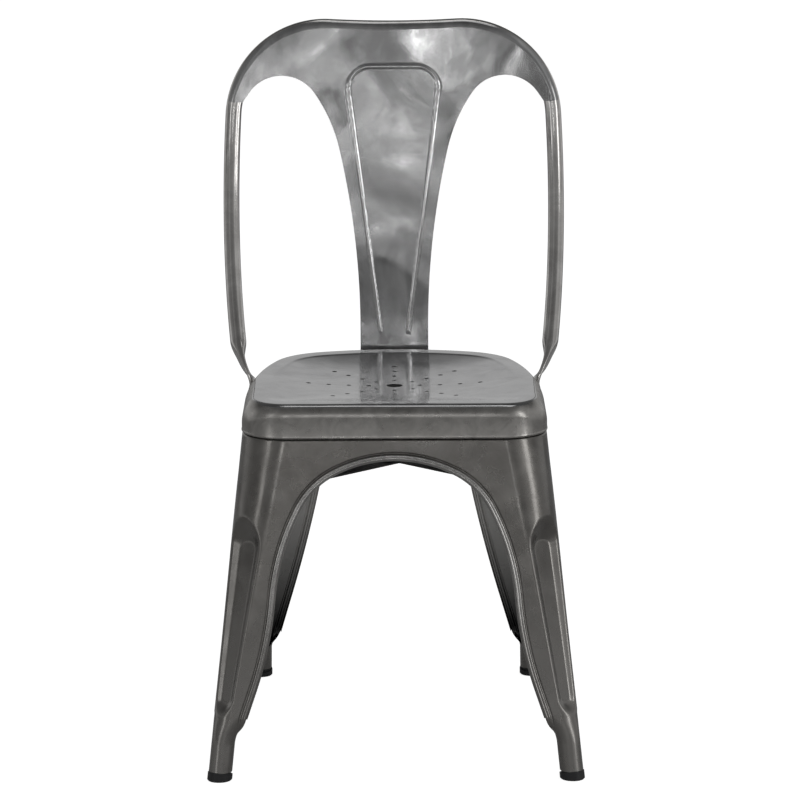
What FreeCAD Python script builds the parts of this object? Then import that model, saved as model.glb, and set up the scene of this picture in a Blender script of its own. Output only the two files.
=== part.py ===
import FreeCAD, Part
import math
import os

# Pressed steel bistro chair, millimetres, +Z up, -Y to the sitter's front.
# The origin lies on the floor, midway between the four feet.

# Sheet and clearances
SHEET = 1.2
SEAM_GAP = 0.3
HOLE_CLEARANCE = 0.3
THREAD_CLEARANCE = 0.1
TOUCH = 0.01

# Seat pan
SEAT_HEIGHT = 441.0
SEAT_HALF_WIDTH = 182.0
SEAT_FRONT = 181.4
SEAT_REAR = 182.0
SEAT_ROLL = 15.0
SKIRT_DEPTH = 40.0
SEAT_SKIRT_BOTTOM = SEAT_HEIGHT - SKIRT_DEPTH
SEAT_FRONT_CORNER = 55.0
SEAT_SIDE_BEND_Y = -40.0
SEAT_SIDE_BEND = 445.0
SEAT_REAR_CORNER = 98.0
SEAT_REAR_BOW = 295.0
DISH_DEPTH = 10.0
DISH_RADIUS = 148.0
DRAIN_RADIUS = 10.0
DRAIN_Y = -10.0
PERFORATION_RADIUS = 2.9
PERFORATION_RAYS = 8
PERFORATION_ROWS = 4
PERFORATION_FIRST = 31.0
PERFORATION_STEP = 24.5
DRILL_DEPTH = 60.0

# Leg frame
FRAME_TOP = SEAT_SKIRT_BOTTOM - 1.0
FRAME_INSET = 0.6
FOOT_RADIUS = 14.0
FOOT_FRONT_X = SEAT_HALF_WIDTH + 27.4
FOOT_REAR_X = SEAT_HALF_WIDTH - 7.0
FOOT_Y = SEAT_REAR + 51.5
FOOT_JOIN_Z = 92.0
FOOT_TUBE_Z = 48.0
SOCK_NOSE = 6.0
SOCK_STEP = 0.1
SOCK_STOP_DEGREES = [300, 262, 188, 150, 95, -5, -60]
THROAT_Z = 62.0
THROAT_HALF = 11.0
THROAT_REACH = 60.0
TONGUE_TOP = SEAT_SKIRT_BOTTOM + 23.0
FRAME_REACH = 300.0
ARCH_CROWN = FRAME_TOP - 23.6
LIP_WIDTH = 6.4
LIP_RISE = 0.9
GROOVE_WIDTH = 3.4
GROOVE_DEPTH = 0.6

# Each arch is a chain of tangent arcs from its crown: radius, turn in degrees
FRONT_ARCH = [(157.0, 27.3), (93.0, 34.9), (280.0, 22.7), (455.0, -14.0)]
REAR_ARCH = [(85.0, 30.0), (70.0, 30.0), (250.0, 18.5), (2000.0, -4.5)]
SIDE_ARCH = [(172.0, 27.3), (93.0, 34.9), (280.0, 15.0), (1200.0, -7.4)]

# Flute pressed into the outer corner of each leg
FLUTE_TOP_Z = 268.0
FLUTE_TOP_RADIUS = 11.5
FLUTE_TOP_SINK = 12.5
FLUTE_LOW_Z = 96.0
FLUTE_LOW_RADIUS = 6.5
FLUTE_LOW_SINK = 8.0
FLUTE_REACH = 30.0
FLUTE_SLOPE = 0.5

# Foot caps
CAP_HEIGHT = 8.5
CAP_RADIUS = 14.8
CAP_PLUG_LENGTH = 22.0
CAP_EDGE = 1.2

# Cross braces
BRACE_Z = FRAME_TOP - 66.0
BRACE_WIDTH = 24.0
BRACE_THICKNESS = 2.5
BRACE_TAB = 24.0
BRACE_RIVET_RADIUS = 4.0
BRACE_RIVET_HEAD = 7.5
BRACE_RIVET_HEIGHT = 2.4

# Back hoop
HOOP_RADIUS = 10.0
HOOP_WALL = 1.2
HOOP_TOP = SEAT_HEIGHT + 410.0
HOOP_TOP_Y = SEAT_REAR + 54.0
HOOP_LEAN = 10.5
HOOP_CORNER = 115.0
HOOP_CORNER_X = SEAT_HALF_WIDTH - 96.0
HOOP_TOP_TILT = 3.2
HOOP_SIDE_FLARE = 3.0
PINCH_X = SEAT_HALF_WIDTH + 11.2
PINCH_Y = 84.0
PINCH_Z = SEAT_HEIGHT + 27.0
STRAP_THICKNESS = 5.0
STRAP_WIDTH = 27.0
STRAP_BOTTOM = SEAT_SKIRT_BOTTOM - 4.0
STRAP_TOP = SEAT_SKIRT_BOTTOM + 19.0
STRAP_Y = 56.0
STRAP_POWER = 3.0
PINCH_LEAVE = 0.7
PINCH_ARRIVE = 0.15
PRESS_POWER = 5.0
TWIST_POWER = 3.0
PINCH_STATIONS = 8
SECTION_POINTS = 24

# Splat and top panel
SPLAT_BOTTOM = SEAT_SKIRT_BOTTOM + 3.0
SPLAT_BEND_Z = SEAT_HEIGHT + 15.0
SPLAT_WAIST = [(50.0, 55.0), (200.0, 22.0), (984.0, 13.0)]
WINDOW_PEAK_X = SEAT_HALF_WIDTH - 42.0
WINDOW_PEAK_Z = HOOP_TOP - 69.0
WINDOW_OUTER = [(50.0, 55.0)]
PANEL_OVERLAP = 4.0
PANEL_TIP_DEGREES = 11.0
BEAD_WIDTH = 6.0
BEAD_RISE = 2.0
BEAD_TOP_Z = HOOP_TOP - 58.0
BEAD_TOP_HALF = 60.0
BEAD_LOW_Z = SEAT_HEIGHT + 21.0
BEAD_LOW_HALF = 17.5
BEAD_CORNER = 27.0

# Fasteners
BOLT_RADIUS = 3.0
BOLT_HEAD_RADIUS = 6.0
BOLT_HEAD_HEIGHT = 3.4
BOLT_Z = SEAT_SKIRT_BOTTOM + 12.0
WASHER_RADIUS = 7.0
WASHER_THICKNESS = 1.2
NUT_FLATS = 10.0
NUT_HEIGHT = 5.0
SPLAT_BOLT_X = 16.0

V = FreeCAD.Vector
UP = V(0, 0, 1)


def line(a, b):
    return Part.LineSegment(a, b).toShape()


def arc(a, middle, b):
    return Part.Arc(a, middle, b).toShape()


def polar(centre, radius, degrees):
    angle = math.radians(degrees)
    return centre + V(radius * math.cos(angle), radius * math.sin(angle), 0)


def turn_arc(centre, radius, start, end):
    middle = (start + end) / 2
    return arc(polar(centre, radius, start), polar(centre, radius, middle), polar(centre, radius, end))


def direction_of(vector):
    return math.degrees(math.atan2(vector.y, vector.x))


def loft(wires, ruled=True):
    return Part.makeLoft(wires, True, ruled)


def mirrored(shape):
    return shape.mirror(V(0, 0, 0), V(1, 0, 0))


def save(name, shape):
    solids = shape.Solids
    for solid in solids:
        if not solid.isValid():
            print("not valid:", name)
    result = solids[0] if len(solids) == 1 else Part.makeCompound(solids)
    result.exportStep("parts/%s.step" % name)
    print(name, len(solids), "solids", round(sum(s.Volume for s in solids)), "mm3")
    return result


# Seat outline
def rear_corner_centre():
    """The rear corner arc touches both the side bend and the rear bow from inside."""
    side = V(SEAT_HALF_WIDTH - SEAT_SIDE_BEND, SEAT_SIDE_BEND_Y, 0)
    rear = V(0, SEAT_REAR - SEAT_REAR_BOW, 0)
    to_side = SEAT_SIDE_BEND - SEAT_REAR_CORNER
    to_rear = SEAT_REAR_BOW - SEAT_REAR_CORNER
    between = rear - side
    gap = between.Length
    along = (to_side ** 2 - to_rear ** 2 + gap ** 2) / (2 * gap)
    across = math.sqrt(to_side ** 2 - along ** 2)
    unit = between * (1 / gap)
    return side, rear, side + unit * along + V(-unit.y, unit.x, 0) * across


def seat_half(offset, z):
    """Right half of the seat outline, front middle to rear middle, grown by an offset."""
    side, rear, corner = rear_corner_centre()
    lift = V(0, 0, z)
    front_centre = V(SEAT_HALF_WIDTH - SEAT_FRONT_CORNER, SEAT_FRONT_CORNER - SEAT_FRONT, z)
    side_turn = direction_of(corner - side)
    rear_turn = direction_of(corner - rear)
    front_radius = SEAT_FRONT_CORNER + offset
    side_radius = SEAT_SIDE_BEND + offset
    start = V(0, -SEAT_FRONT - offset, z)
    return [
        line(start, polar(front_centre, front_radius, -90)),
        turn_arc(front_centre, front_radius, -90, 0),
        line(polar(front_centre, front_radius, 0), polar(side + lift, side_radius, 0)),
        turn_arc(side + lift, side_radius, 0, side_turn),
        turn_arc(corner + lift, SEAT_REAR_CORNER + offset, side_turn, rear_turn),
        turn_arc(rear + lift, SEAT_REAR_BOW + offset, rear_turn, 90),
    ]


def floor_half(offset, z):
    """Right half of the frame outline at floor level, round the outside of the feet."""
    radius = FOOT_RADIUS + offset
    front = V(FOOT_FRONT_X, -FOOT_Y, z)
    rear = V(FOOT_REAR_X, FOOT_Y, z)
    slant = math.degrees(math.atan2(FOOT_FRONT_X - FOOT_REAR_X, 2 * FOOT_Y))
    side_start = polar(front, radius, slant)
    side_end = polar(rear, radius, slant)
    share = (SEAT_SIDE_BEND_Y + FOOT_Y) / (2 * FOOT_Y)
    split = side_start + (side_end - side_start) * share
    return [
        line(V(0, -FOOT_Y - radius, z), polar(front, radius, -90)),
        turn_arc(front, radius, -90, slant),
        line(side_start, split),
        line(split, side_end),
        turn_arc(rear, radius, slant, 90),
        line(polar(rear, radius, 90), V(0, FOOT_Y + radius, z)),
    ]


def ring(half):
    """Closes a right half outline with its mirror image."""
    left = [edge.mirror(V(0, 0, 0), V(1, 0, 0)) for edge in reversed(half)]
    return Part.Wire(half + left)


def frame_block(offset):
    """Tapered block inside the frame's outer surface, grown by an offset."""
    top = ring(seat_half(offset - FRAME_INSET, FRAME_TOP))
    return loft([ring(floor_half(offset, 0)), top])


# Arches
def arch_chain(segments, crown, grow=0.0):
    """Edges of half an arch from its crown outwards, in (across, up), and the end heading."""
    point = (0.0, crown + grow)
    heading = 0.0
    edges = []
    for radius, degrees in segments:
        turn = math.radians(degrees)
        sign = 1 if turn > 0 else -1
        r = radius + grow * sign
        spots = []
        for part in (0.5, 1.0):
            a = heading + turn * part
            across = point[0] + r * sign * (math.sin(a) - math.sin(heading))
            up = point[1] - r * sign * (math.cos(heading) - math.cos(a))
            spots.append((across, up))
        edges.append((point, spots[0], spots[1]))
        point = spots[1]
        heading += turn
    return edges, point, heading


def arch_wire(segments, grow, place):
    """Closed outline of an arch opening that runs below the floor."""
    edges, end, heading = arch_chain(segments, ARCH_CROWN, grow)
    drop = end[1] + FOOT_RADIUS
    foot = (end[0] + drop / math.tan(heading), -FOOT_RADIUS)
    right = [arc(place(*a), place(*m), place(*b)) for a, m, b in edges]
    right.append(line(place(*end), place(*foot)))
    left = [arc(place(-b[0], b[1]), place(-m[0], m[1]), place(-a[0], a[1])) for a, m, b in reversed(edges)]
    left.insert(0, line(place(-foot[0], foot[1]), place(-end[0], end[1])))
    return Part.Wire(left + right + [line(place(*foot), place(-foot[0], foot[1]))])


def arch_tool(segments, side, grow=0.0):
    """Prism that cuts an arch out of the front, rear or side walls."""
    if side in ("front", "rear"):
        sign = -1 if side == "front" else 1
        wire = arch_wire(segments, grow, lambda across, up: V(across, 0, up))
        return Part.Face(wire).extrude(V(0, sign * FRAME_REACH, 0))
    wire = arch_wire(segments, grow, lambda across, up: V(0, across, up))
    return Part.Face(wire).extrude(V(FRAME_REACH, 0, 0))


# Flute
def corner_line(front):
    """Top and bottom of the sharp corner that a leg's two walls would meet in."""
    if front:
        top = V(SEAT_HALF_WIDTH - FRAME_INSET, FRAME_INSET - SEAT_FRONT, FRAME_TOP)
        return top, V(FOOT_FRONT_X + FOOT_RADIUS, -FOOT_Y - FOOT_RADIUS, 0)
    top = V(SEAT_HALF_WIDTH - FRAME_INSET, SEAT_REAR - FRAME_INSET, FRAME_TOP)
    return top, V(FOOT_REAR_X + FOOT_RADIUS, FOOT_Y + FOOT_RADIUS, 0)


def taper_outline(origin, along, across, big, small, length):
    """Outline round two circles on one line, with tangent sides."""
    lean = math.asin((big - small) / length)

    def spot(distance, radius, angle):
        return origin + along * (distance - radius * math.cos(angle)) + across * (radius * math.sin(angle))

    side = math.pi / 2 + lean
    far_turn = math.pi
    return Part.Wire([
        arc(spot(0, big, -side), spot(0, big, 0), spot(0, big, side)),
        line(spot(0, big, side), spot(length, small, side)),
        arc(spot(length, small, side), spot(length, small, far_turn), spot(length, small, -side)),
        line(spot(length, small, -side), spot(0, big, -side)),
    ])


def flute_tool(front, depth_extra=0.0):
    """Recess with sloping walls, sunk diagonally into the corner of a leg."""
    out = V(1, -1 if front else 1, 0)
    out.normalize()

    def floor_at(z, sink):
        sharp, radius = on_walls(front, z)
        return sharp - out * (radius * (math.sqrt(2) - 1) + sink + depth_extra)

    start = floor_at(FLUTE_TOP_Z, FLUTE_TOP_SINK)
    end = floor_at(FLUTE_LOW_Z, FLUTE_LOW_SINK)
    along = end - start
    length = along.Length
    along.normalize()
    across = out.cross(along)
    across.normalize()
    normal = along.cross(across)
    if normal.dot(out) < 0:
        normal = normal * -1
    widen = depth_extra * math.tan(math.atan(FLUTE_SLOPE) / 2)
    big = FLUTE_TOP_RADIUS + widen
    small = FLUTE_LOW_RADIUS + widen
    spread = FLUTE_REACH / FLUTE_SLOPE
    floor = taper_outline(start, along, across, big, small, length)
    lifted = start + normal * FLUTE_REACH
    mouth = taper_outline(lifted, along, across, big + spread, small + spread, length)
    return loft([floor, mouth])


# Feet
def foot_axis(front):
    """Unit vector up the foot tube, and its centre at floor level."""
    top, low = corner_line(front)
    axis = top - low
    axis.normalize()
    centre = V(FOOT_FRONT_X if front else FOOT_REAR_X, -FOOT_Y if front else FOOT_Y, 0)
    return axis, centre


def foot_centre(front, z):
    axis, centre = foot_axis(front)
    return centre + axis * (z / axis.z)


def on_walls(front, z):
    """Wall directions and corner radius of the frame at height z, for one leg."""
    share = z / FRAME_TOP
    top, low = corner_line(front)
    sharp = low + (top - low) * share
    top_radius = (SEAT_FRONT_CORNER if front else SEAT_REAR_CORNER) - FRAME_INSET
    return sharp, FOOT_RADIUS + (top_radius - FOOT_RADIUS) * share


def arch_reach(segments, z):
    """Half width of an arch opening at height z."""
    wire = arch_wire(segments, 0.0, lambda across, up: V(across, 0, up))
    level = line(V(0, 0, z), V(FRAME_REACH, 0, z))
    return max(vertex.X for vertex in level.common(Part.Face(wire)).Vertexes)


def sock_profile(front, z, inset):
    """Closed outline of a leg just above the foot: two wings, corner and slanting back."""
    sharp, radius = on_walls(front, z)
    sign = -1 if front else 1
    wing_x = sharp.x - arch_reach(FRONT_ARCH if front else REAR_ARCH, z)
    wing_y = abs(sharp.y) - arch_reach(SIDE_ARCH, z)
    r = radius - inset
    n = SOCK_NOSE - inset

    def spot(u, v):
        return V(sharp.x - u, sharp.y - sign * v, z)

    def bow(cu, cv, rad, start, end):
        angles = [math.radians(a) for a in (start, (start + end) / 2, end)]
        return arc(*[spot(cu + rad * math.cos(a), cv + rad * math.sin(a)) for a in angles])

    u_nose = wing_x - SOCK_NOSE
    v_nose = wing_y - SOCK_NOSE
    slope = math.degrees(math.atan2(u_nose - SOCK_NOSE, v_nose - SOCK_NOSE))
    lean = math.radians(slope)
    return Part.Wire([
        line(spot(u_nose, inset), spot(radius, inset)),
        bow(radius, radius, r, 270, 180),
        line(spot(inset, radius), spot(inset, v_nose)),
        bow(SOCK_NOSE, v_nose, n, 180, slope),
        line(
            spot(SOCK_NOSE + n * math.cos(lean), v_nose + n * math.sin(lean)),
            spot(u_nose + n * math.cos(lean), SOCK_NOSE + n * math.sin(lean)),
        ),
        bow(u_nose, SOCK_NOSE, n, slope, -90),
    ])


def tube_profile(front, z, inset):
    """The foot tube's round outline, cut at the places that match the sock outline."""
    centre = foot_centre(front, z)
    sign = -1 if front else 1
    radius = FOOT_RADIUS - inset

    def spot(angle):
        a = math.radians(angle)
        return V(centre.x - radius * math.cos(a), centre.y - sign * radius * math.sin(a), z)

    return Part.Wire([
        arc(spot(a), spot((a + b) / 2), spot(b)) for a, b in zip(SOCK_STOP_DEGREES, SOCK_STOP_DEGREES[1:])
    ])


def foot_sock(front):
    """Transition from the open corner section to the round foot, with its open throat."""
    outer = loft([sock_profile(front, FOOT_JOIN_Z, SOCK_STEP), tube_profile(front, FOOT_TUBE_Z, 0)])
    inside = sock_profile(front, FOOT_JOIN_Z, SOCK_STEP + SHEET)
    inner = loft([inside, tube_profile(front, FOOT_TUBE_Z, SHEET)])
    wall = outer.cut(flute_tool(front)).cut(inner.cut(flute_tool(front, SHEET)))
    return wall.cut(throat_tool(front))


def throat_tool(front):
    """Vee that opens the slanting back wall above the foot, where the two wings come together."""
    low = foot_centre(front, THROAT_Z)
    high = foot_centre(front, FOOT_JOIN_Z + SHEET)
    inward = V(-1, 1 if front else -1, 0)
    inward.normalize()
    across = V(inward.y, -inward.x, 0)
    corners = [low, high + across * THROAT_HALF, high - across * THROAT_HALF, low]
    return Part.Face(Part.makePolygon(corners)).extrude(inward * THROAT_REACH)


def foot_tube(front):
    """Round foot below the sock, cut square to its axis where the cap seats."""
    axis, centre = foot_axis(front)
    outer = loft([tube_profile(front, FOOT_TUBE_Z, 0), tube_profile(front, 0, 0)])
    inner = loft([tube_profile(front, FOOT_TUBE_Z, SHEET), tube_profile(front, 0, SHEET)])
    seat = centre + axis * (CAP_HEIGHT / axis.z)
    below = Part.makeCylinder(2 * FOOT_RADIUS, FOOT_TUBE_Z, seat, axis * -1)
    return outer.cut(inner).cut(below)


def frame_wall(front):
    """Sheet of a leg above its foot, with flute, arches, rolled lips and grooves."""
    outer = frame_block(0).cut(flute_tool(front))
    inner = frame_block(-SHEET).cut(flute_tool(front, SHEET))
    low = -FRAME_REACH if front else 0
    corner = Part.makeBox(FRAME_REACH, FRAME_REACH, FRAME_TOP - FOOT_JOIN_Z, V(0, low, FOOT_JOIN_Z))
    wall = outer.cut(inner).common(corner)
    raised = frame_block(LIP_RISE).cut(frame_block(-SHEET)).common(corner)
    skin = frame_block(LIP_RISE).cut(frame_block(-GROOVE_DEPTH)).common(corner)
    sides = [FRONT_ARCH if front else REAR_ARCH, SIDE_ARCH]
    names = ["front" if front else "rear", "side"]
    for arch, name in zip(sides, names):
        opening = arch_tool(arch, name)
        lip_edge = arch_tool(arch, name, LIP_WIDTH)
        groove_edge = arch_tool(arch, name, LIP_WIDTH + GROOVE_WIDTH)
        wall = wall.cut(skin.common(groove_edge.cut(lip_edge)))
        wall = wall.fuse(raised.common(lip_edge))
    for arch, name in zip(sides, names):
        wall = wall.cut(arch_tool(arch, name))
    return wall


def seat_slice(offset, low, high):
    """Solid of the seat outline, grown by an offset, between two heights."""
    return Part.Face(ring(seat_half(offset, low))).extrude(V(0, 0, high - low))


def frame_tongue(front):
    """Joggled upstand of a leg that stands inside the seat's skirt, on a narrow shelf."""
    outside = -SHEET - SEAM_GAP
    shelf_z = FRAME_TOP - SHEET
    upstand = seat_slice(outside, shelf_z, TONGUE_TOP)
    shelf = seat_slice(-FRAME_INSET, shelf_z, FRAME_TOP)
    hollow = seat_slice(outside - SHEET, shelf_z, TONGUE_TOP)
    low = -FRAME_REACH if front else 0
    corner = Part.makeBox(FRAME_REACH, FRAME_REACH, FRAME_REACH, V(0, low, shelf_z))
    return upstand.fuse(shelf).cut(hollow).common(corner)


def leg(front):
    wall = frame_wall(front)
    return wall.fuse([frame_tongue(front), foot_sock(front), foot_tube(front)]).removeSplitter()


# Seat pan
def seat_shell(offset, top):
    """Seat block with its rolled upper edge, inset by an offset."""
    block = seat_slice(offset, SEAT_SKIRT_BOTTOM, top)
    rim = [edge for edge in block.Edges if abs(edge.BoundBox.ZMin - top) < TOUCH]
    return block.makeFillet(SEAT_ROLL + offset, rim)


def dish_sphere(extra):
    """Ball whose underside shapes the dish, with its poles kept off the seat."""
    radius = (DISH_RADIUS ** 2 + DISH_DEPTH ** 2) / (2 * DISH_DEPTH)
    return Part.makeSphere(radius + extra, V(0, 0, SEAT_HEIGHT - DISH_DEPTH + radius), V(1, 0, 0))


def drain_holes():
    """Middle drain and the rays of small holes round it."""
    low = SEAT_HEIGHT - DRILL_DEPTH
    tools = [Part.makeCylinder(DRAIN_RADIUS, DRILL_DEPTH, V(0, DRAIN_Y, low))]
    for ray in range(PERFORATION_RAYS):
        for row in range(PERFORATION_ROWS):
            reach = PERFORATION_FIRST + row * PERFORATION_STEP
            spot = polar(V(0, DRAIN_Y, low), reach, 360 * ray / PERFORATION_RAYS)
            tools.append(Part.makeCylinder(PERFORATION_RADIUS, DRILL_DEPTH, spot))
    return tools


def seat_pan():
    outer = seat_shell(0, SEAT_HEIGHT).cut(dish_sphere(0))
    inner = seat_shell(-SHEET, SEAT_HEIGHT - SHEET).cut(dish_sphere(SHEET))
    return outer.cut(inner).cut(drain_holes())


# Cross braces
def brace(z, angle):
    """Flat strip across the frame, with an upturned tab at each end along the leg's corner."""
    reach = 2 * FRAME_REACH

    def bar(low, height):
        block = Part.makeBox(reach, BRACE_WIDTH, height, V(-reach / 2, -BRACE_WIDTH / 2, low))
        return block.rotate(V(0, 0, 0), UP, angle)

    room = frame_block(-SHEET - SEAM_GAP)
    tab_zone = room.cut(frame_block(-SHEET - SEAM_GAP - BRACE_THICKNESS))
    strip = bar(z, BRACE_THICKNESS).common(room)
    tabs = bar(z, BRACE_TAB).common(tab_zone)
    hole = Part.makeCylinder(BRACE_RIVET_RADIUS + HOLE_CLEARANCE, BRACE_THICKNESS, V(0, 0, z))
    return strip.fuse(tabs).cut(hole)


def brace_rivet():
    low = BRACE_Z
    high = BRACE_Z + 2 * BRACE_THICKNESS
    shank = Part.makeCylinder(BRACE_RIVET_RADIUS, high - low, V(0, 0, low))
    ends = [
        Part.makeCone(BRACE_RIVET_HEAD, BRACE_RIVET_RADIUS, BRACE_RIVET_HEIGHT, V(0, 0, high), UP),
        Part.makeCone(BRACE_RIVET_HEAD, BRACE_RIVET_RADIUS, BRACE_RIVET_HEIGHT, V(0, 0, low), UP * -1),
    ]
    return shank.fuse(ends)


# Foot caps
def foot_cap(front):
    axis, centre = foot_axis(front)
    shoulder = CAP_HEIGHT / axis.z
    start = centre - axis * CAP_RADIUS
    pad = Part.makeCylinder(CAP_RADIUS, shoulder + CAP_RADIUS, start, axis)
    corner = centre - V(FRAME_REACH / 2, FRAME_REACH / 2, FRAME_REACH)
    pad = pad.cut(Part.makeBox(FRAME_REACH, FRAME_REACH, FRAME_REACH, corner))
    sole = [edge for edge in pad.Edges if abs(edge.BoundBox.ZMax) < TOUCH]
    pad = pad.makeChamfer(CAP_EDGE, sole)
    plug_radius = FOOT_RADIUS - SHEET - SEAM_GAP
    plug = Part.makeCylinder(plug_radius, CAP_PLUG_LENGTH, centre + axis * shoulder, axis)
    return pad.fuse(plug)


# Fasteners
def dome(radius, height, seat, out):
    """Domed head that sits on a point and faces out."""
    ball = (radius ** 2 + height ** 2) / (2 * height)
    sphere = Part.makeSphere(ball, seat + out * (height - ball))
    return sphere.common(Part.makeCylinder(radius, height, seat, out))


def bolt(seat, out, length):
    """Bolt with its domed head seated on a point, and its shank running inwards."""
    shank = Part.makeCylinder(BOLT_RADIUS, length, seat - out * length, out)
    return shank.fuse(dome(BOLT_HEAD_RADIUS, BOLT_HEAD_HEIGHT, seat, out))


def washer(seat, out):
    """Washer that lies inside, under a point, with its face towards it."""
    disc = Part.makeCylinder(WASHER_RADIUS, WASHER_THICKNESS, seat, out * -1)
    return disc.cut(Part.makeCylinder(BOLT_RADIUS + HOLE_CLEARANCE, WASHER_THICKNESS, seat, out * -1))


def nut(seat, out):
    """Hexagon nut that lies inside, under a point."""
    corner = NUT_FLATS / math.sqrt(3)
    across = out.cross(UP)
    points = []
    for step in range(7):
        angle = math.radians(60 * step)
        points.append(seat + across * (corner * math.cos(angle)) + UP * (corner * math.sin(angle)))
    prism = Part.Face(Part.makePolygon(points)).extrude(out * -NUT_HEIGHT)
    return prism.cut(Part.makeCylinder(BOLT_RADIUS + THREAD_CLEARANCE, NUT_HEIGHT, seat, out * -1))


def strap_place():
    """Point on the skirt behind the hoop's right end, and the way out from it."""
    side = V(SEAT_HALF_WIDTH - SEAT_SIDE_BEND, SEAT_SIDE_BEND_Y, 0)
    angle = math.asin((STRAP_Y - SEAT_SIDE_BEND_Y) / SEAT_SIDE_BEND)
    out = V(math.cos(angle), math.sin(angle), 0)
    return side + out * SEAT_SIDE_BEND, out


def hoop_layers():
    """Seats of the right bolt head and washer, and the bolt's direction."""
    skirt, out = strap_place()
    lift = V(0, 0, BOLT_Z)
    head = skirt + lift + out * (SEAM_GAP + STRAP_THICKNESS)
    inside = skirt + lift - out * (2 * SHEET + SEAM_GAP)
    return head, inside, out


def splat_layers(side):
    """The same for a bolt at the splat's foot, on the left or right of the middle."""
    x = side * SPLAT_BOLT_X
    out = V(0, 1, 0)
    bow = SEAT_REAR_BOW - math.sqrt(SEAT_REAR_BOW ** 2 - SPLAT_BOLT_X ** 2)
    head = V(x, SEAT_REAR + SEAM_GAP + SHEET, BOLT_Z)
    inside = V(x, SEAT_REAR - bow - 2 * SHEET - SEAM_GAP - SEAM_GAP, BOLT_Z)
    return head, inside, out


def drill(head, inside, out):
    """Clearance hole through everything that a bolt clamps."""
    span = head - inside
    length = span.Length + 2 * BOLT_HEAD_HEIGHT
    return Part.makeCylinder(BOLT_RADIUS + HOLE_CLEARANCE, length, inside - out * BOLT_HEAD_HEIGHT, out)


def bolt_holes():
    right = drill(*hoop_layers())
    return [right, mirrored(right), drill(*splat_layers(-1)), drill(*splat_layers(1))]


def bolt_length(head, inside):
    return (head - inside).Length + WASHER_THICKNESS + NUT_HEIGHT + BOLT_RADIUS


# Back hoop
def on_hoop(x, drop):
    """Point of the plane that the upper hoop lies in, from the hump's height downwards."""
    lean = math.radians(HOOP_LEAN)
    top = HOOP_TOP - HOOP_RADIUS
    return V(x, HOOP_TOP_Y - drop * math.sin(lean), top - drop * math.cos(lean))


def on_corner_arc(degrees, grow=0.0):
    angle = math.radians(degrees)
    radius = HOOP_CORNER + grow
    return on_hoop(HOOP_CORNER_X + radius * math.cos(angle), HOOP_CORNER - radius * math.sin(angle))


def arc_from_tangent(start, tangent, end):
    """Middle point of the arc that leaves a point along a tangent, and its last tangent."""
    chord = end - start
    normal = chord - tangent * chord.dot(tangent)
    normal.normalize()
    radius = chord.dot(chord) / (2 * chord.dot(normal))
    centre = start + normal * radius
    towards = (start - centre) + (end - centre)
    towards.normalize()
    unit = V(chord)
    unit.normalize()
    return centre + towards * radius, unit * (2 * tangent.dot(unit)) - tangent


def rail_drop(grow=0.0):
    """How far the middle of the top rail lies below the humps, for an outline grown by an amount."""
    tilt = math.radians(HOOP_TOP_TILT)
    radius = HOOP_CORNER + grow
    reach = HOOP_CORNER_X - radius * math.sin(tilt)
    return HOOP_CORNER - radius * math.cos(tilt) + reach * math.tan(tilt / 2)


def hoop_edges():
    """Arcs of the right half of the hoop's middle line, and where and how its round part ends."""
    top = on_corner_arc(90 + HOOP_TOP_TILT)
    rail = arc(mirrored_point(top), on_hoop(0, rail_drop()), top)
    shoulder_end = on_corner_arc(HOOP_SIDE_FLARE)
    turn = (90 + HOOP_TOP_TILT + HOOP_SIDE_FLARE) / 2
    shoulder = arc(top, on_corner_arc(turn), shoulder_end)
    flare = math.radians(HOOP_SIDE_FLARE)
    lean = math.radians(HOOP_LEAN)
    down = V(0, -math.sin(lean), -math.cos(lean))
    tangent = V(math.sin(flare), 0, 0) + down * math.cos(flare)
    pinch = V(PINCH_X, PINCH_Y, PINCH_Z)
    through, last = arc_from_tangent(shoulder_end, tangent, pinch)
    return rail, shoulder, arc(shoulder_end, through, pinch), pinch, last


def mirrored_point(point):
    return V(-point.x, point.y, point.z)


def round_tube(edge, radius, wall):
    """Round tube along one arc, as a revolved ring."""
    curve = edge.Curve
    start = edge.valueAt(edge.FirstParameter)
    along = edge.tangentAt(edge.FirstParameter)
    outer = Part.Wire(Part.Circle(start, along, radius).toShape())
    face = Part.Face(outer)
    if wall:
        face = face.cut(Part.Face(Part.Wire(Part.Circle(start, along, radius - wall).toShape())))
    sweep = math.degrees(edge.LastParameter - edge.FirstParameter)
    return face.revolve(curve.Center, curve.Axis, sweep)


def rounded_section(centre, thick, wide, half_thick, half_wide, power):
    """Closed smooth outline between a circle (power 2) and a flat bar (higher power)."""
    points = []
    for step in range(SECTION_POINTS):
        angle = 2 * math.pi * (step + 0.5) / SECTION_POINTS
        c, s = math.cos(angle), math.sin(angle)
        a = math.copysign(abs(c) ** (2 / power), c) * half_thick
        b = math.copysign(abs(s) ** (2 / power), s) * half_wide
        points.append(centre + thick * a + wide * b)
    curve = Part.BSplineCurve()
    curve.interpolate(Points=points, PeriodicFlag=True)
    return Part.Wire(curve.toShape())


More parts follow.
